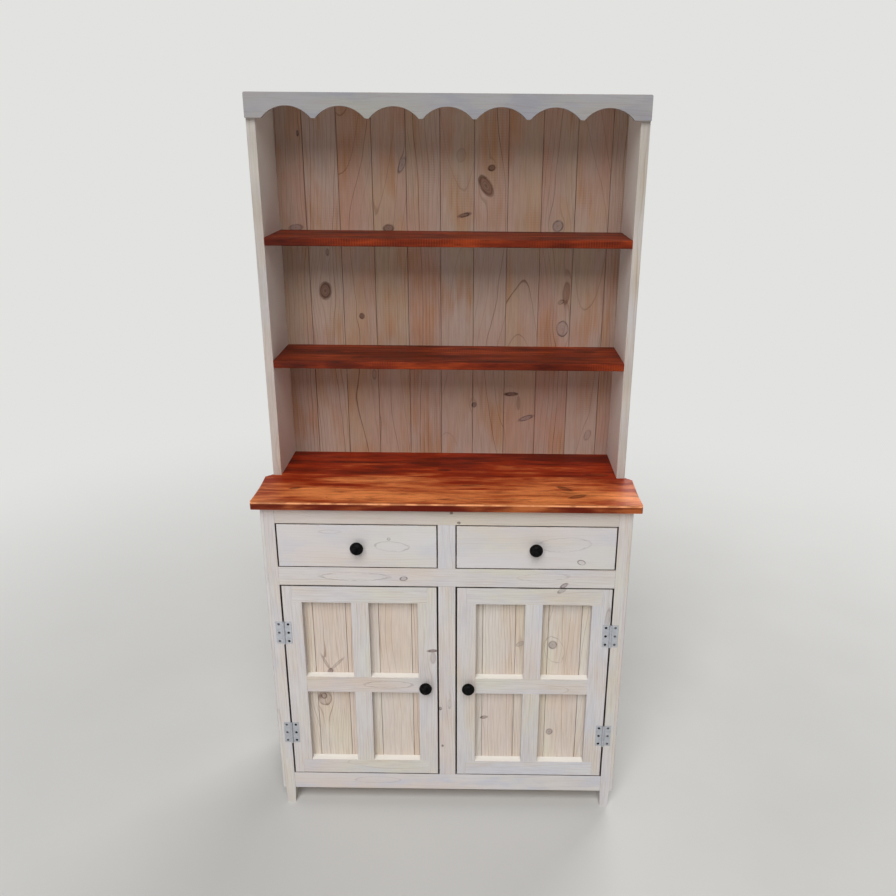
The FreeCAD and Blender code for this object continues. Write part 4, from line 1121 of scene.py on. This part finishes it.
# -------------------------------------------------------------------------------------- the pieces
def board_section(sizes, thickness):
    """The section of a tongue-and-groove board: its groove at X = 0, its tongue beyond, its face at Y = 0."""
    left = sizes.board_gap / 2
    right = sizes.board_cover - sizes.board_gap / 2
    third = thickness / 3
    chamfer = sizes.board_chamfer
    behind = chamfer / 2
    tongue = right + sizes.board_tongue
    groove = left + sizes.board_tongue + TONGUE_SLACK
    return ((left + chamfer, 0), (right - chamfer, 0), (right, chamfer), (right, third), (tongue, third),
            (tongue, 2 * third), (right, 2 * third), (right, thickness - behind), (right - behind, thickness),
            (left + behind, thickness), (left, thickness - behind), (left, 2 * third + TONGUE_SLACK),
            (groove, 2 * third + TONGUE_SLACK), (groove, third - TONGUE_SLACK), (left, third - TONGUE_SLACK),
            (left, chamfer))


def lay_boards(node, first_seam, material, seed):
    """The row of boards that a node holds, laid anew with its seams in the same places."""
    sizes = bpy.context.scene.cupboard_sizes
    low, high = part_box(node)
    cover = sizes.board_cover
    first = first_seam - math.ceil((first_seam - low.x) / cover - SAME) * cover
    board = bmesh.new()
    prism(board, [(x, low.y + y) for x, y in board_section(sizes, high.y - low.y)], low.z, high.z)
    mesh = worked_out(node, board, boards_tree(), {
        "Boards": math.ceil((high.x - first) / cover - SAME), "First edge": first, "Cover": cover,
        "Left limit": low.x, "Right limit": high.x, "Seed": seed, "Finish": material})
    # Marks the inside of each groove, which the finish darkens with dirt and painted shade.
    joint = mesh.verts.layers.float.new("joint")
    for vertex in mesh.verts:
        at_limit = min(vertex.co.x - low.x, high.x - vertex.co.x) < JOIN_DISTANCE
        on_face = min(vertex.co.y - low.y, high.y - vertex.co.y) < 0.3 * sizes.board_chamfer
        vertex[joint] = float(not on_face and not at_limit)
    shaded(mesh)
    fit(f"{node}_wood", plain_mesh(mesh, node), material, body_of(node), "limed_pine", node)


def worktop_outlines(low, high, ear_back, side, step):
    """The plan of the four worktop boards, front to back. The first two carry the ears."""
    reach = high.x
    backs = [low.y + index * step for index in (1, 2, 3, 4)]
    front, ear = WORKTOP_FRONT_CORNER, WORKTOP_EAR_CORNER
    longest = ([(-reach, backs[0])] + rounded_corner(-reach + front, low.y + front, front, 180)
               + rounded_corner(reach - front, low.y + front, front, 270) + [(reach, backs[0])])
    eared = ([(-reach, backs[0]), (reach, backs[0])] + rounded_corner(reach - ear, ear_back - ear, ear, 0)
             + rounded_corner(-reach + ear, ear_back - ear, ear, 90))
    shorter = [[(-side, near), (side, near), (side, far), (-side, far)]
               for near, far in zip(backs[1:], backs[2:])]
    return [longest, eared, *shorter], backs[:3]


def worktop_board_mesh(outline, low, high, seams, sizes):
    """One board of the worktop, rounded along its outer edge and barely eased along its glued seams."""
    mesh = bmesh.new()
    top, _ = prism(mesh, outline, low, high)

    def on_seam(edge):
        return any(all(abs(vertex.co.y - seam) < JOIN_DISTANCE for vertex in edge.verts) for seam in seams)

    ease_edges(mesh, [edge for edge in top.edges if not on_seam(edge)], sizes.worktop_arris, 4)
    glued = [edge for edge in mesh.edges
             if edge.calc_length() > LEAST_SEAM and on_seam(edge)
             and all(abs(vertex.co.z - high) < JOIN_DISTANCE for vertex in edge.verts)]
    bmesh.ops.bevel(mesh, geom=glued, offset=sizes.worktop_seam, offset_type="OFFSET", segments=1,
                    affect="EDGES", clamp_overlap=False)
    return mesh


def knob_profile(sizes):
    """Half the section of a knob: a small foot, a narrow neck, and a wide rounded head."""
    radius, reach, foot = sizes.knob_radius, sizes.knob_reach, sizes.knob_foot
    dome = 30.0 * MM
    easing = 0.4 * MM
    foot_height = 2.0 * MM
    crown_radius = 8.5 * MM

    def crown(out):
        return (out, -(reach - dome + math.sqrt(dome ** 2 - out ** 2)))

    foot_top = (foot - easing, -foot_height)
    flare = (7.6 * MM, -8.0 * MM)
    rim = (radius, -16.6 * MM)
    points = [(0.0, 0.0), (foot - easing, 0.0), (foot, -easing), (foot, -foot_height + easing), foot_top]
    points += arc_through(foot_top, (5.8 * MM, -4.6 * MM), flare, 10)
    points += arc_through(flare, (13.4 * MM, -10.8 * MM), rim, 12)
    points += arc_through(rim, (14.6 * MM, -23.0 * MM), crown(crown_radius), 14)
    points += [crown(crown_radius * (1 - step / 6)) for step in range(1, 7)]
    return points


def turn_knob(node, segments=72):
    low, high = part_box(node)
    mesh = turned_mesh(knob_profile(bpy.context.scene.cupboard_sizes), segments)
    middle = (low + high) / 2
    bmesh.ops.translate(mesh, verts=mesh.verts, vec=(middle.x, high.y, middle.z))
    shaded(mesh)
    fit(f"{node}_turned", plain_mesh(mesh, node), smooth("Knob lacquer"), body_of(node), "black_knob", node)


def countersunk_mesh(sizes):
    """A wood screw with a flat head at the origin and a coarse thread."""
    head, shank, end = sizes.screw_head, sizes.screw_shank, sizes.screw_length
    profile = [(0.0, 0.0), (head - 0.1 * MM, 0.0), (head, 0.12 * MM), (shank, 2.0 * MM)]
    thread = 5.0 * MM
    pitch = 1.4 * MM
    while thread < end - 4.0 * MM:
        profile += [(shank * 0.78, thread), (shank, thread + pitch / 2)]
        thread += pitch
    profile += [(shank * 0.8, end - 3.5 * MM), (0.0, end)]
    return turned_mesh(profile, SCREW_SEGMENTS)


def pan_head_mesh(end):
    """A screw with a domed head that starts at the origin. Its tip is at this distance from the head."""
    height, shank = KNOB_SCREW_HEAD, KNOB_SCREW_RADIUS
    head = 2 * shank
    dome = arc_through((0.0, -height), (head * 0.72, -0.72 * height), (head, -0.25 * height), 6)
    profile = [(0.0, -height)] + dome + [(head, 0.0), (shank, 0.0), (shank, end - 1.0 * MM), (0.0, end)]
    return turned_mesh([(radius, depth + height) for radius, depth in profile], SCREW_SEGMENTS)


def drive(name, screw, body, nodes, values, finish):
    """Screws for these nodes: copies of one screw, each turned its own way."""
    still = (0, 0, 0)
    mesh = worked_out(name, screw, screws_tree(), {
        "Screws": 1, "Leaves": 1, "Sides": 1, "Seed": 3, "Finish": finish, "Facing": still,
        "Screw step": still, "Leaf step": still, "Side step": still,
        "Recess length": 3.8 * MM, "Recess width": 0.8 * MM, "Recess depth": 1.3 * MM, **values})
    shaded(mesh)
    fit(name, plain_mesh(mesh, name), finish, body, "screw_steel", *nodes)


# --------------------------------------------------------------------------------------- operators
class CUPBOARD_OT_case_frame(Operator):
    """Planes the legs, the front rails and the two dividers of the base"""

    bl_idname = "cupboard.case_frame"
    bl_label = "Case frame"

    def execute(self, context):
        arris = context.scene.cupboard_sizes.frame_arris
        uprights = limed_pine("Limed pine uprights", "frame", UPRIGHT_KNOTS)
        for node in ("front_legs", "rear_legs", "drawer_divider", "door_divider"):
            plane_wood(node, uprights, "limed_pine", arris, mark=in_openings)
        for place, name, settings in (
                # On the top rail, dim and bare paint the worktop's shadow, darker and warmer.
                ("top", "Limed pine top rail", {"haze": 0.2, "figure": 0.7, "bare": 0.30, "dim": 0.93}),
                ("middle", "Limed pine rails", {"figure": 0.7}),
                ("bottom", "Limed pine bottom rail", {"haze": 0.9, "figure": 0.4})):
            finish = limed_pine(name, "frame", RAIL_KNOTS, LYING, **settings)
            plane_wood(f"front_{place}_rail", finish, "limed_pine", arris, mark=in_openings)
        return {"FINISHED"}


class CUPBOARD_OT_inside(Operator):
    """Planes what the base holds inside: rails, floor, shelf, runners, kickers and dowels"""

    bl_idname = "cupboard.inside"
    bl_label = "Inside of the base"

    def execute(self, context):
        arris = context.scene.cupboard_sizes.frame_arris
        for node in ("side_rails", "rear_rails", "cupboard_floor", "cupboard_shelf", "outer_drawer_runners",
                     "centre_drawer_runner", "drawer_kickers"):
            plane_wood(node, bare_pine(), "bare_pine", arris)
        plane_wood("hutch_dowels", bare_pine(), "bare_pine", DOWEL_ARRIS)
        return {"FINISHED"}


class CUPBOARD_OT_boards(Operator):
    """Lays the tongue-and-groove boards of the back and the sides"""

    bl_idname = "cupboard.boards"
    bl_label = "Back and side boards"

    def execute(self, context):
        arris = context.scene.cupboard_sizes.frame_arris
        hutch = limed_pine("Limed pine hutch boards", "hutch", HUTCH_KNOTS, haze=0.4, seams=(0.25, 0.75),
                           chatter=0.07, rings=0.9)
        lay_boards("hutch_back_boards", BACK_SEAM, hutch, 4)
        lay_boards("base_back_boards", BACK_SEAM, limed_pine("Limed pine back", "pane", knot_chance=0.06), 9)
        cladding = limed_pine("Limed pine sides", "frame", knot_chance=0.06)
        for side, _ in SIDES:
            plane_wood(f"{side}_side_boards", cladding, "limed_pine", arris)
        return {"FINISHED"}


class CUPBOARD_OT_worktop(Operator):
    """Glues up the worktop from four boards and rounds its outer edge"""

    bl_idname = "cupboard.worktop"
    bl_label = "Worktop"

    def darken_backward(self, mesh, front, back):
        """Darker the further back the boards lie: partly more stain, partly painted shade under the hutch."""
        tone = mesh.verts.layers.float["tone"]
        for members in loose_solids(mesh):
            near, far = extent(members)
            for vertex in members:
                vertex[tone] = ((near.y + far.y) / 2 - front) / (back - front)

    def execute(self, context):
        sizes = context.scene.cupboard_sizes
        low, ear_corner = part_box("worktop_front_boards")
        rear_low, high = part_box("worktop_rear_boards")
        outlines, seams = worktop_outlines(low, ear_corner, rear_low.y, -rear_low.x, (high.y - low.y) / 4)
        finish = stained_pine("Stained pine worktop", "stain", WORKTOP_KNOTS)
        for node, pair in (("worktop_front_boards", outlines[:2]), ("worktop_rear_boards", outlines[2:])):
            joined = bmesh.new()
            for outline in pair:
                whole = bpy.data.meshes.new(node)
                board = worktop_board_mesh(outline, low.z, high.z, seams, sizes)
                board.to_mesh(whole)
                board.free()
                joined.from_mesh(whole)
                bpy.data.meshes.remove(whole)
            store_grain(joined, f"{GRAIN_SEED}{node}", 0.0)
            self.darken_backward(joined, low.y, high.y)
            # Painted shade: the upright faces of the worktop are marked to come out darker than its top.
            mark_faces(joined, lambda normal, centre: float(abs(normal.z) < 0.3))
            shaded(joined)
            fit(f"{node}_wood", plain_mesh(joined, node), finish, "case", "stained_pine", node)
        return {"FINISHED"}


class CUPBOARD_OT_hutch(Operator):
    """Planes the hutch sides, its top board and the two stained shelves"""

    bl_idname = "cupboard.hutch"
    bl_label = "Hutch"

    def execute(self, context):
        sizes = context.scene.cupboard_sizes
        # bare warms the hutch sides as painted warm bounce light from the stained shelves.
        sides = limed_pine("Limed pine hutch sides", "frame", knot_chance=0.06, haze=0.3, bare=0.15)

        def darker_front_highlit_inside(normal, centre):
            """The front edges a little darker, and a painted highlight on the inner faces."""
            inner = normal.x * centre.x < -SQUARE_ON * abs(centre.x)
            return 0.22 * (normal.y < -SQUARE_ON) - 0.9 * inner

        for node in ("left_hutch_side", "right_hutch_side", "hutch_top"):
            plane_wood(node, sides, "limed_pine", sizes.front_arris, mark=darker_front_highlit_inside)
        shelves = stained_pine("Stained pine shelves", "shelf", SHELF_KNOTS, chatter=0.25)
        for node in ("upper_shelf", "lower_shelf"):
            plane_wood(node, shelves, "stained_pine", sizes.shelf_arris)
        return {"FINISHED"}


class CUPBOARD_OT_valance(Operator):
    """Saws the scallops into the valance and eases its edges"""

    bl_idname = "cupboard.valance"
    bl_label = "Valance"

    def execute(self, context):
        sizes = context.scene.cupboard_sizes
        low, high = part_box("valance")
        # dim paints shade: the valance's whitewash is darkened well below the frame's.
        finish = limed_pine("Limed pine valance", "frame", knot_chance=0.04, dim=0.58, haze=1.0, figure=0.6)
        blank = bmesh.new()
        corner = sizes.valance_corner
        outline = ([(low.x, low.z), (high.x, low.z)]
                   + rounded_corner(high.x - corner, high.z - corner, corner, 0)
                   + rounded_corner(low.x + corner, high.z - corner, corner, 90))
        prism(blank, outline, 0.0, high.y - low.y)
        upright = Matrix.Translation((0, high.y, 0)) @ Matrix.Rotation(math.pi / 2, 4, "X")
        bmesh.ops.transform(blank, matrix=upright, verts=blank.verts)
        mesh = worked_out("valance", blank, scallops_tree(), {
            "Scallops": sizes.scallops, "Pitch": sizes.scallop_pitch, "Rise": sizes.scallop_rise,
            "Tip": sizes.scallop_tip, "Lower edge": low.z, "Depth": (low.y + high.y) / 2, "Finish": finish})
        whole_faces(mesh)
        arrises = [edge for edge in mesh.edges
                   if len(edge.link_faces) == 2 and edge.is_convex
                   and abs(edge.verts[0].co.y - edge.verts[1].co.y) < JOIN_DISTANCE
                   and edge.calc_face_angle() > ARRIS_ANGLE]
        ease_edges(mesh, arrises, sizes.valance_arris)
        store_grain(mesh, f"{GRAIN_SEED}valance", 0.0)
        shaded(mesh)
        fit("valance_wood", plain_mesh(mesh, "valance"), finish, "case", "limed_pine", "valance")
        return {"FINISHED"}


class CUPBOARD_OT_doors(Operator):
    """Makes the two framed doors and the boards behind their panes"""

    bl_idname = "cupboard.doors"
    bl_label = "Doors"

    def execute(self, context):
        arris = context.scene.cupboard_sizes.frame_arris
        uprights = limed_pine("Limed pine stiles", "frame", UPRIGHT_KNOTS)
        rails = limed_pine("Limed pine door rails", "frame", DOOR_RAIL_KNOTS, LYING)
        boards = limed_pine("Limed pine door boards", "pane", DOOR_KNOTS, haze=0.3, seams=(0.3, 0.75))
        for side, toward in SIDES:
            outline = round_front(*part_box(f"{side}_door_stiles"))
            for part, finish in (("stiles", uprights), ("muntins", uprights), ("rails", rails)):
                plane_wood(f"{side}_door_{part}", finish, "limed_pine", arris, mark=outline)
            lay_boards(f"{side}_door_boards", DOOR_SEAMS[side], boards, 21 + int(toward))
        return {"FINISHED"}


class CUPBOARD_OT_drawers(Operator):
    """Makes the two drawers: front, sides, back and bottom"""

    bl_idname = "cupboard.drawers"
    bl_label = "Drawers"

    def execute(self, context):
        sizes = context.scene.cupboard_sizes
        fronts = limed_pine("Limed pine drawer fronts", "frame", DRAWER_KNOTS, LYING, haze=0.45, figure=0.35)
        for side, _ in SIDES:
            node = f"{side}_drawer_front"
            plane_wood(node, fronts, "limed_pine", sizes.front_arris, False, mark=round_front(*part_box(node)))
            for part in ("sides", "back"):
                plane_wood(f"{side}_drawer_{part}", bare_pine(), "bare_pine", sizes.frame_arris)
            plane_wood(f"{side}_drawer_bottom", plywood(), "plywood", PLYWOOD_ARRIS)
        return {"FINISHED"}


class CUPBOARD_OT_knobs(Operator):
    """Turns the four black knobs"""

    bl_idname = "cupboard.knobs"
    bl_label = "Knobs"

    def execute(self, context):
        for side, _ in SIDES:
            for part in ("door", "drawer"):
                turn_knob(f"{side}_{part}_knob")
        return {"FINISHED"}


class CUPBOARD_OT_hinges(Operator):
    """Dresses the hinge leaves, the pins, the magnetic catches and their plates"""

    bl_idname = "cupboard.hinges"
    bl_label = "Hinges and catches"

    def execute(self, context):
        arris = context.scene.cupboard_sizes.metal_arris
        for node in ("hinge_frame_leaves", "hinge_pins", "left_door_hinge_leaves", "right_door_hinge_leaves",
                     "left_door_catch_plate", "right_door_catch_plate"):
            dress_metal(node, smooth("Zinc plate"), "zinc_plate", arris)
        dress_metal("door_catches", smooth("Catch plastic"), "catch_plastic", CATCH_ARRIS)
        return {"FINISHED"}


class CUPBOARD_OT_screws(Operator):
    """Drives the hinge screws and the screws that hold the knobs"""

    bl_idname = "cupboard.screws"
    bl_label = "Screws"

    def drive_hinge_screws(self, sizes):
        low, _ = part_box("frame_hinge_screws")
        x, height = low.x + sizes.screw_head, low.z + sizes.screw_head
        steps = {"Screws": 3, "Screw step": (0, 0, LEAF_SCREW_STEP),
                 "Leaves": 2, "Leaf step": (0, 0, HINGE_STEP)}
        drive("frame_hinge_screws_driven", countersunk_mesh(sizes), "case", ("frame_hinge_screws",), {
            "First place": (x, low.y, height), "Sides": 2, "Side step": (-2 * x, 0, 0), **steps},
            smooth("Screw steel"))
        for side, toward in SIDES:
            node = f"{side}_door_screws"
            place = (toward * (-x - ACROSS_HINGE), low.y, height)
            drive(f"{node}_driven", countersunk_mesh(sizes), f"{side}_door", (node,), {
                "First place": place, "Seed": 8 + int(toward), **steps}, smooth("Dull steel"))

    def drive_knob_screw(self, side, part, node):
        _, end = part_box(node)
        knob_low, knob_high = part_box(f"{side}_{part}_knob")
        middle = (knob_low + knob_high) / 2
        reach = end.y - KNOB_SCREW_HEAD - (CASE_FRONT - KNOB_SCREW_DEPTH)
        drive(f"{side}_{part}_knob_screw_driven", pan_head_mesh(reach), f"{side}_{part}", (node,), {
            "First place": (middle.x, end.y, middle.z), "Facing": (0, 0, math.pi)}, smooth("Screw steel"))

    def execute(self, context):
        self.drive_hinge_screws(context.scene.cupboard_sizes)
        for part, kind in (("door", "door_screws"), ("drawer", "drawer_knob_screw")):
            for side, _ in SIDES:
                self.drive_knob_screw(side, part, f"{side}_{kind}")
        return {"FINISHED"}


class CUPBOARD_OT_stage(Operator):
    """Sets the pale floor, the soft lights and the camera"""

    bl_idname = "cupboard.stage"
    bl_label = "Stage"

    def execute(self, context):
        finishes = context.scene.cupboard_finishes
        context.scene.view_settings.view_transform = "Standard"
        self.make_floor(finishes)
        self.make_world(context, finishes)
        self.make_lamps()
        self.make_camera(context)
        return {"FINISHED"}

    def seen_directly(self, wiring):
        path = wiring.node("ShaderNodeLightPath")
        return path["Is Camera Ray"].most(path["Is Glossy Ray"]).most(path["Is Transmission Ray"])

    def make_floor(self, finishes):
        """A round floor whose far part takes the colour of the backdrop."""
        mesh = bmesh.new()
        bmesh.ops.create_circle(mesh, cap_ends=True, radius=FLOOR_RADIUS, segments=96)
        data = bpy.data.meshes.new("floor")
        mesh.to_mesh(data)
        mesh.free()
        floor = show("floor", data)
        material, wiring, shader = new_material("Pale floor")
        x, y, _ = wiring.split(wiring.place())
        cloud = wiring.noise(wiring.join(x, y, 0.0), 3.0, 4.0)
        worn = [0.94 * value for value in finishes.floor]
        wiring.feed(shader, "Base Color", wiring.mix(cloud, finishes.floor, worn))
        wiring.feed(shader, "Roughness", cloud.spread(0.3, 0.7, 0.82, 0.95))
        glow = wiring.node("ShaderNodeEmission", {"Color": finishes.backdrop, "Strength": 1.0})
        share = distance(x, y).spread(*FLOOR_FADE) * self.seen_directly(wiring)
        both = wiring.node("ShaderNodeMixShader", {0: share, 1: Value(wiring, shader), 2: glow})
        wiring.feed(material.node_tree.nodes["Material Output"], "Surface", both)
        data.materials.append(material)

    def make_world(self, context, finishes):
        """An even, weak light all round, with the backdrop's colour where it is looked at."""
        world = bpy.data.worlds.new("Soft room")
        world.use_nodes = True
        context.scene.world = world
        wiring = Wiring(world.node_tree)
        lit = world.node_tree.nodes["Background"]
        wiring.feed(lit, "Color", (1.0, 1.0, 1.0))
        wiring.feed(lit, "Strength", ROOM_LIGHT)
        seen = wiring.node("ShaderNodeBackground", {"Color": finishes.backdrop, "Strength": 1.0})
        both = wiring.node("ShaderNodeMixShader", {0: self.seen_directly(wiring), 1: Value(wiring, lit),
                                                   2: seen})
        wiring.feed(world.node_tree.nodes["World Output"], "Surface", both)

    def make_lamps(self):
        for name, place, target, size, power, spread in LAMPS:
            light = bpy.data.lights.new(name, "AREA")
            light.size = size
            light.energy = power
            light.spread = math.radians(spread)
            lamp = show(name, light)
            lamp.location = place
            aim = Vector((0.0, 0.0, target)) - lamp.location
            lamp.rotation_euler = aim.to_track_quat("-Z", "Y").to_euler()
            lamp.visible_camera = False

    def make_camera(self, context):
        data = bpy.data.cameras.new("camera")
        data.lens = CAMERA_LENS
        data.sensor_width = 36.0
        data.shift_x, data.shift_y = CAMERA_SHIFT
        pitch, yaw, roll = CAMERA_ANGLES
        ahead = Vector((math.sin(yaw) * math.cos(pitch), math.cos(yaw) * math.cos(pitch), -math.sin(pitch)))
        right = Vector((math.cos(yaw), -math.sin(yaw), 0.0))
        up = right.cross(ahead)
        turned_right = math.cos(roll) * right + math.sin(roll) * up
        turned_up = -math.sin(roll) * right + math.cos(roll) * up
        camera = show("camera", data)
        rotation = Matrix((turned_right, turned_up, -ahead)).transposed().to_4x4()
        camera.matrix_world = Matrix.Translation(CAMERA_PLACE) @ rotation
        context.scene.camera = camera


class CUPBOARD_PT_panel(Panel):
    """Lists the steps that make the cupboard, with its sizes and finishes"""

    bl_label = "Step back cupboard"
    bl_idname = "CUPBOARD_PT_panel"
    bl_space_type = "VIEW_3D"
    bl_region_type = "UI"
    bl_category = "Cupboard"

    def draw(self, context):
        for step in STEPS:
            self.layout.operator(step.bl_idname)
        scene = context.scene
        for title, group in (("Sizes", scene.cupboard_sizes), ("Finishes", scene.cupboard_finishes)):
            box = self.layout.box()
            box.label(text=title)
            for name in group.__annotations__:
                box.prop(group, name)


STEPS = (CUPBOARD_OT_case_frame, CUPBOARD_OT_inside, CUPBOARD_OT_boards, CUPBOARD_OT_worktop,
         CUPBOARD_OT_hutch, CUPBOARD_OT_valance, CUPBOARD_OT_doors, CUPBOARD_OT_drawers, CUPBOARD_OT_knobs,
         CUPBOARD_OT_hinges, CUPBOARD_OT_screws, CUPBOARD_OT_stage)
CLASSES = (CupboardSizes, CupboardFinishes, *STEPS, CUPBOARD_PT_panel)


def register():
    for each in CLASSES:
        bpy.utils.register_class(each)
    bpy.types.Scene.cupboard_sizes = PointerProperty(type=CupboardSizes)
    bpy.types.Scene.cupboard_finishes = PointerProperty(type=CupboardFinishes)


def unregister():
    del bpy.types.Scene.cupboard_finishes
    del bpy.types.Scene.cupboard_sizes
    for each in reversed(CLASSES):
        bpy.utils.unregister_class(each)


def main():
    """Makes the whole cupboard, one step after another."""
    register()
    for step in STEPS:
        group, name = step.bl_idname.split(".")
        getattr(getattr(bpy.ops, group), name)()
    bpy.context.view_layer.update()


if __name__ == "__main__":
    main()
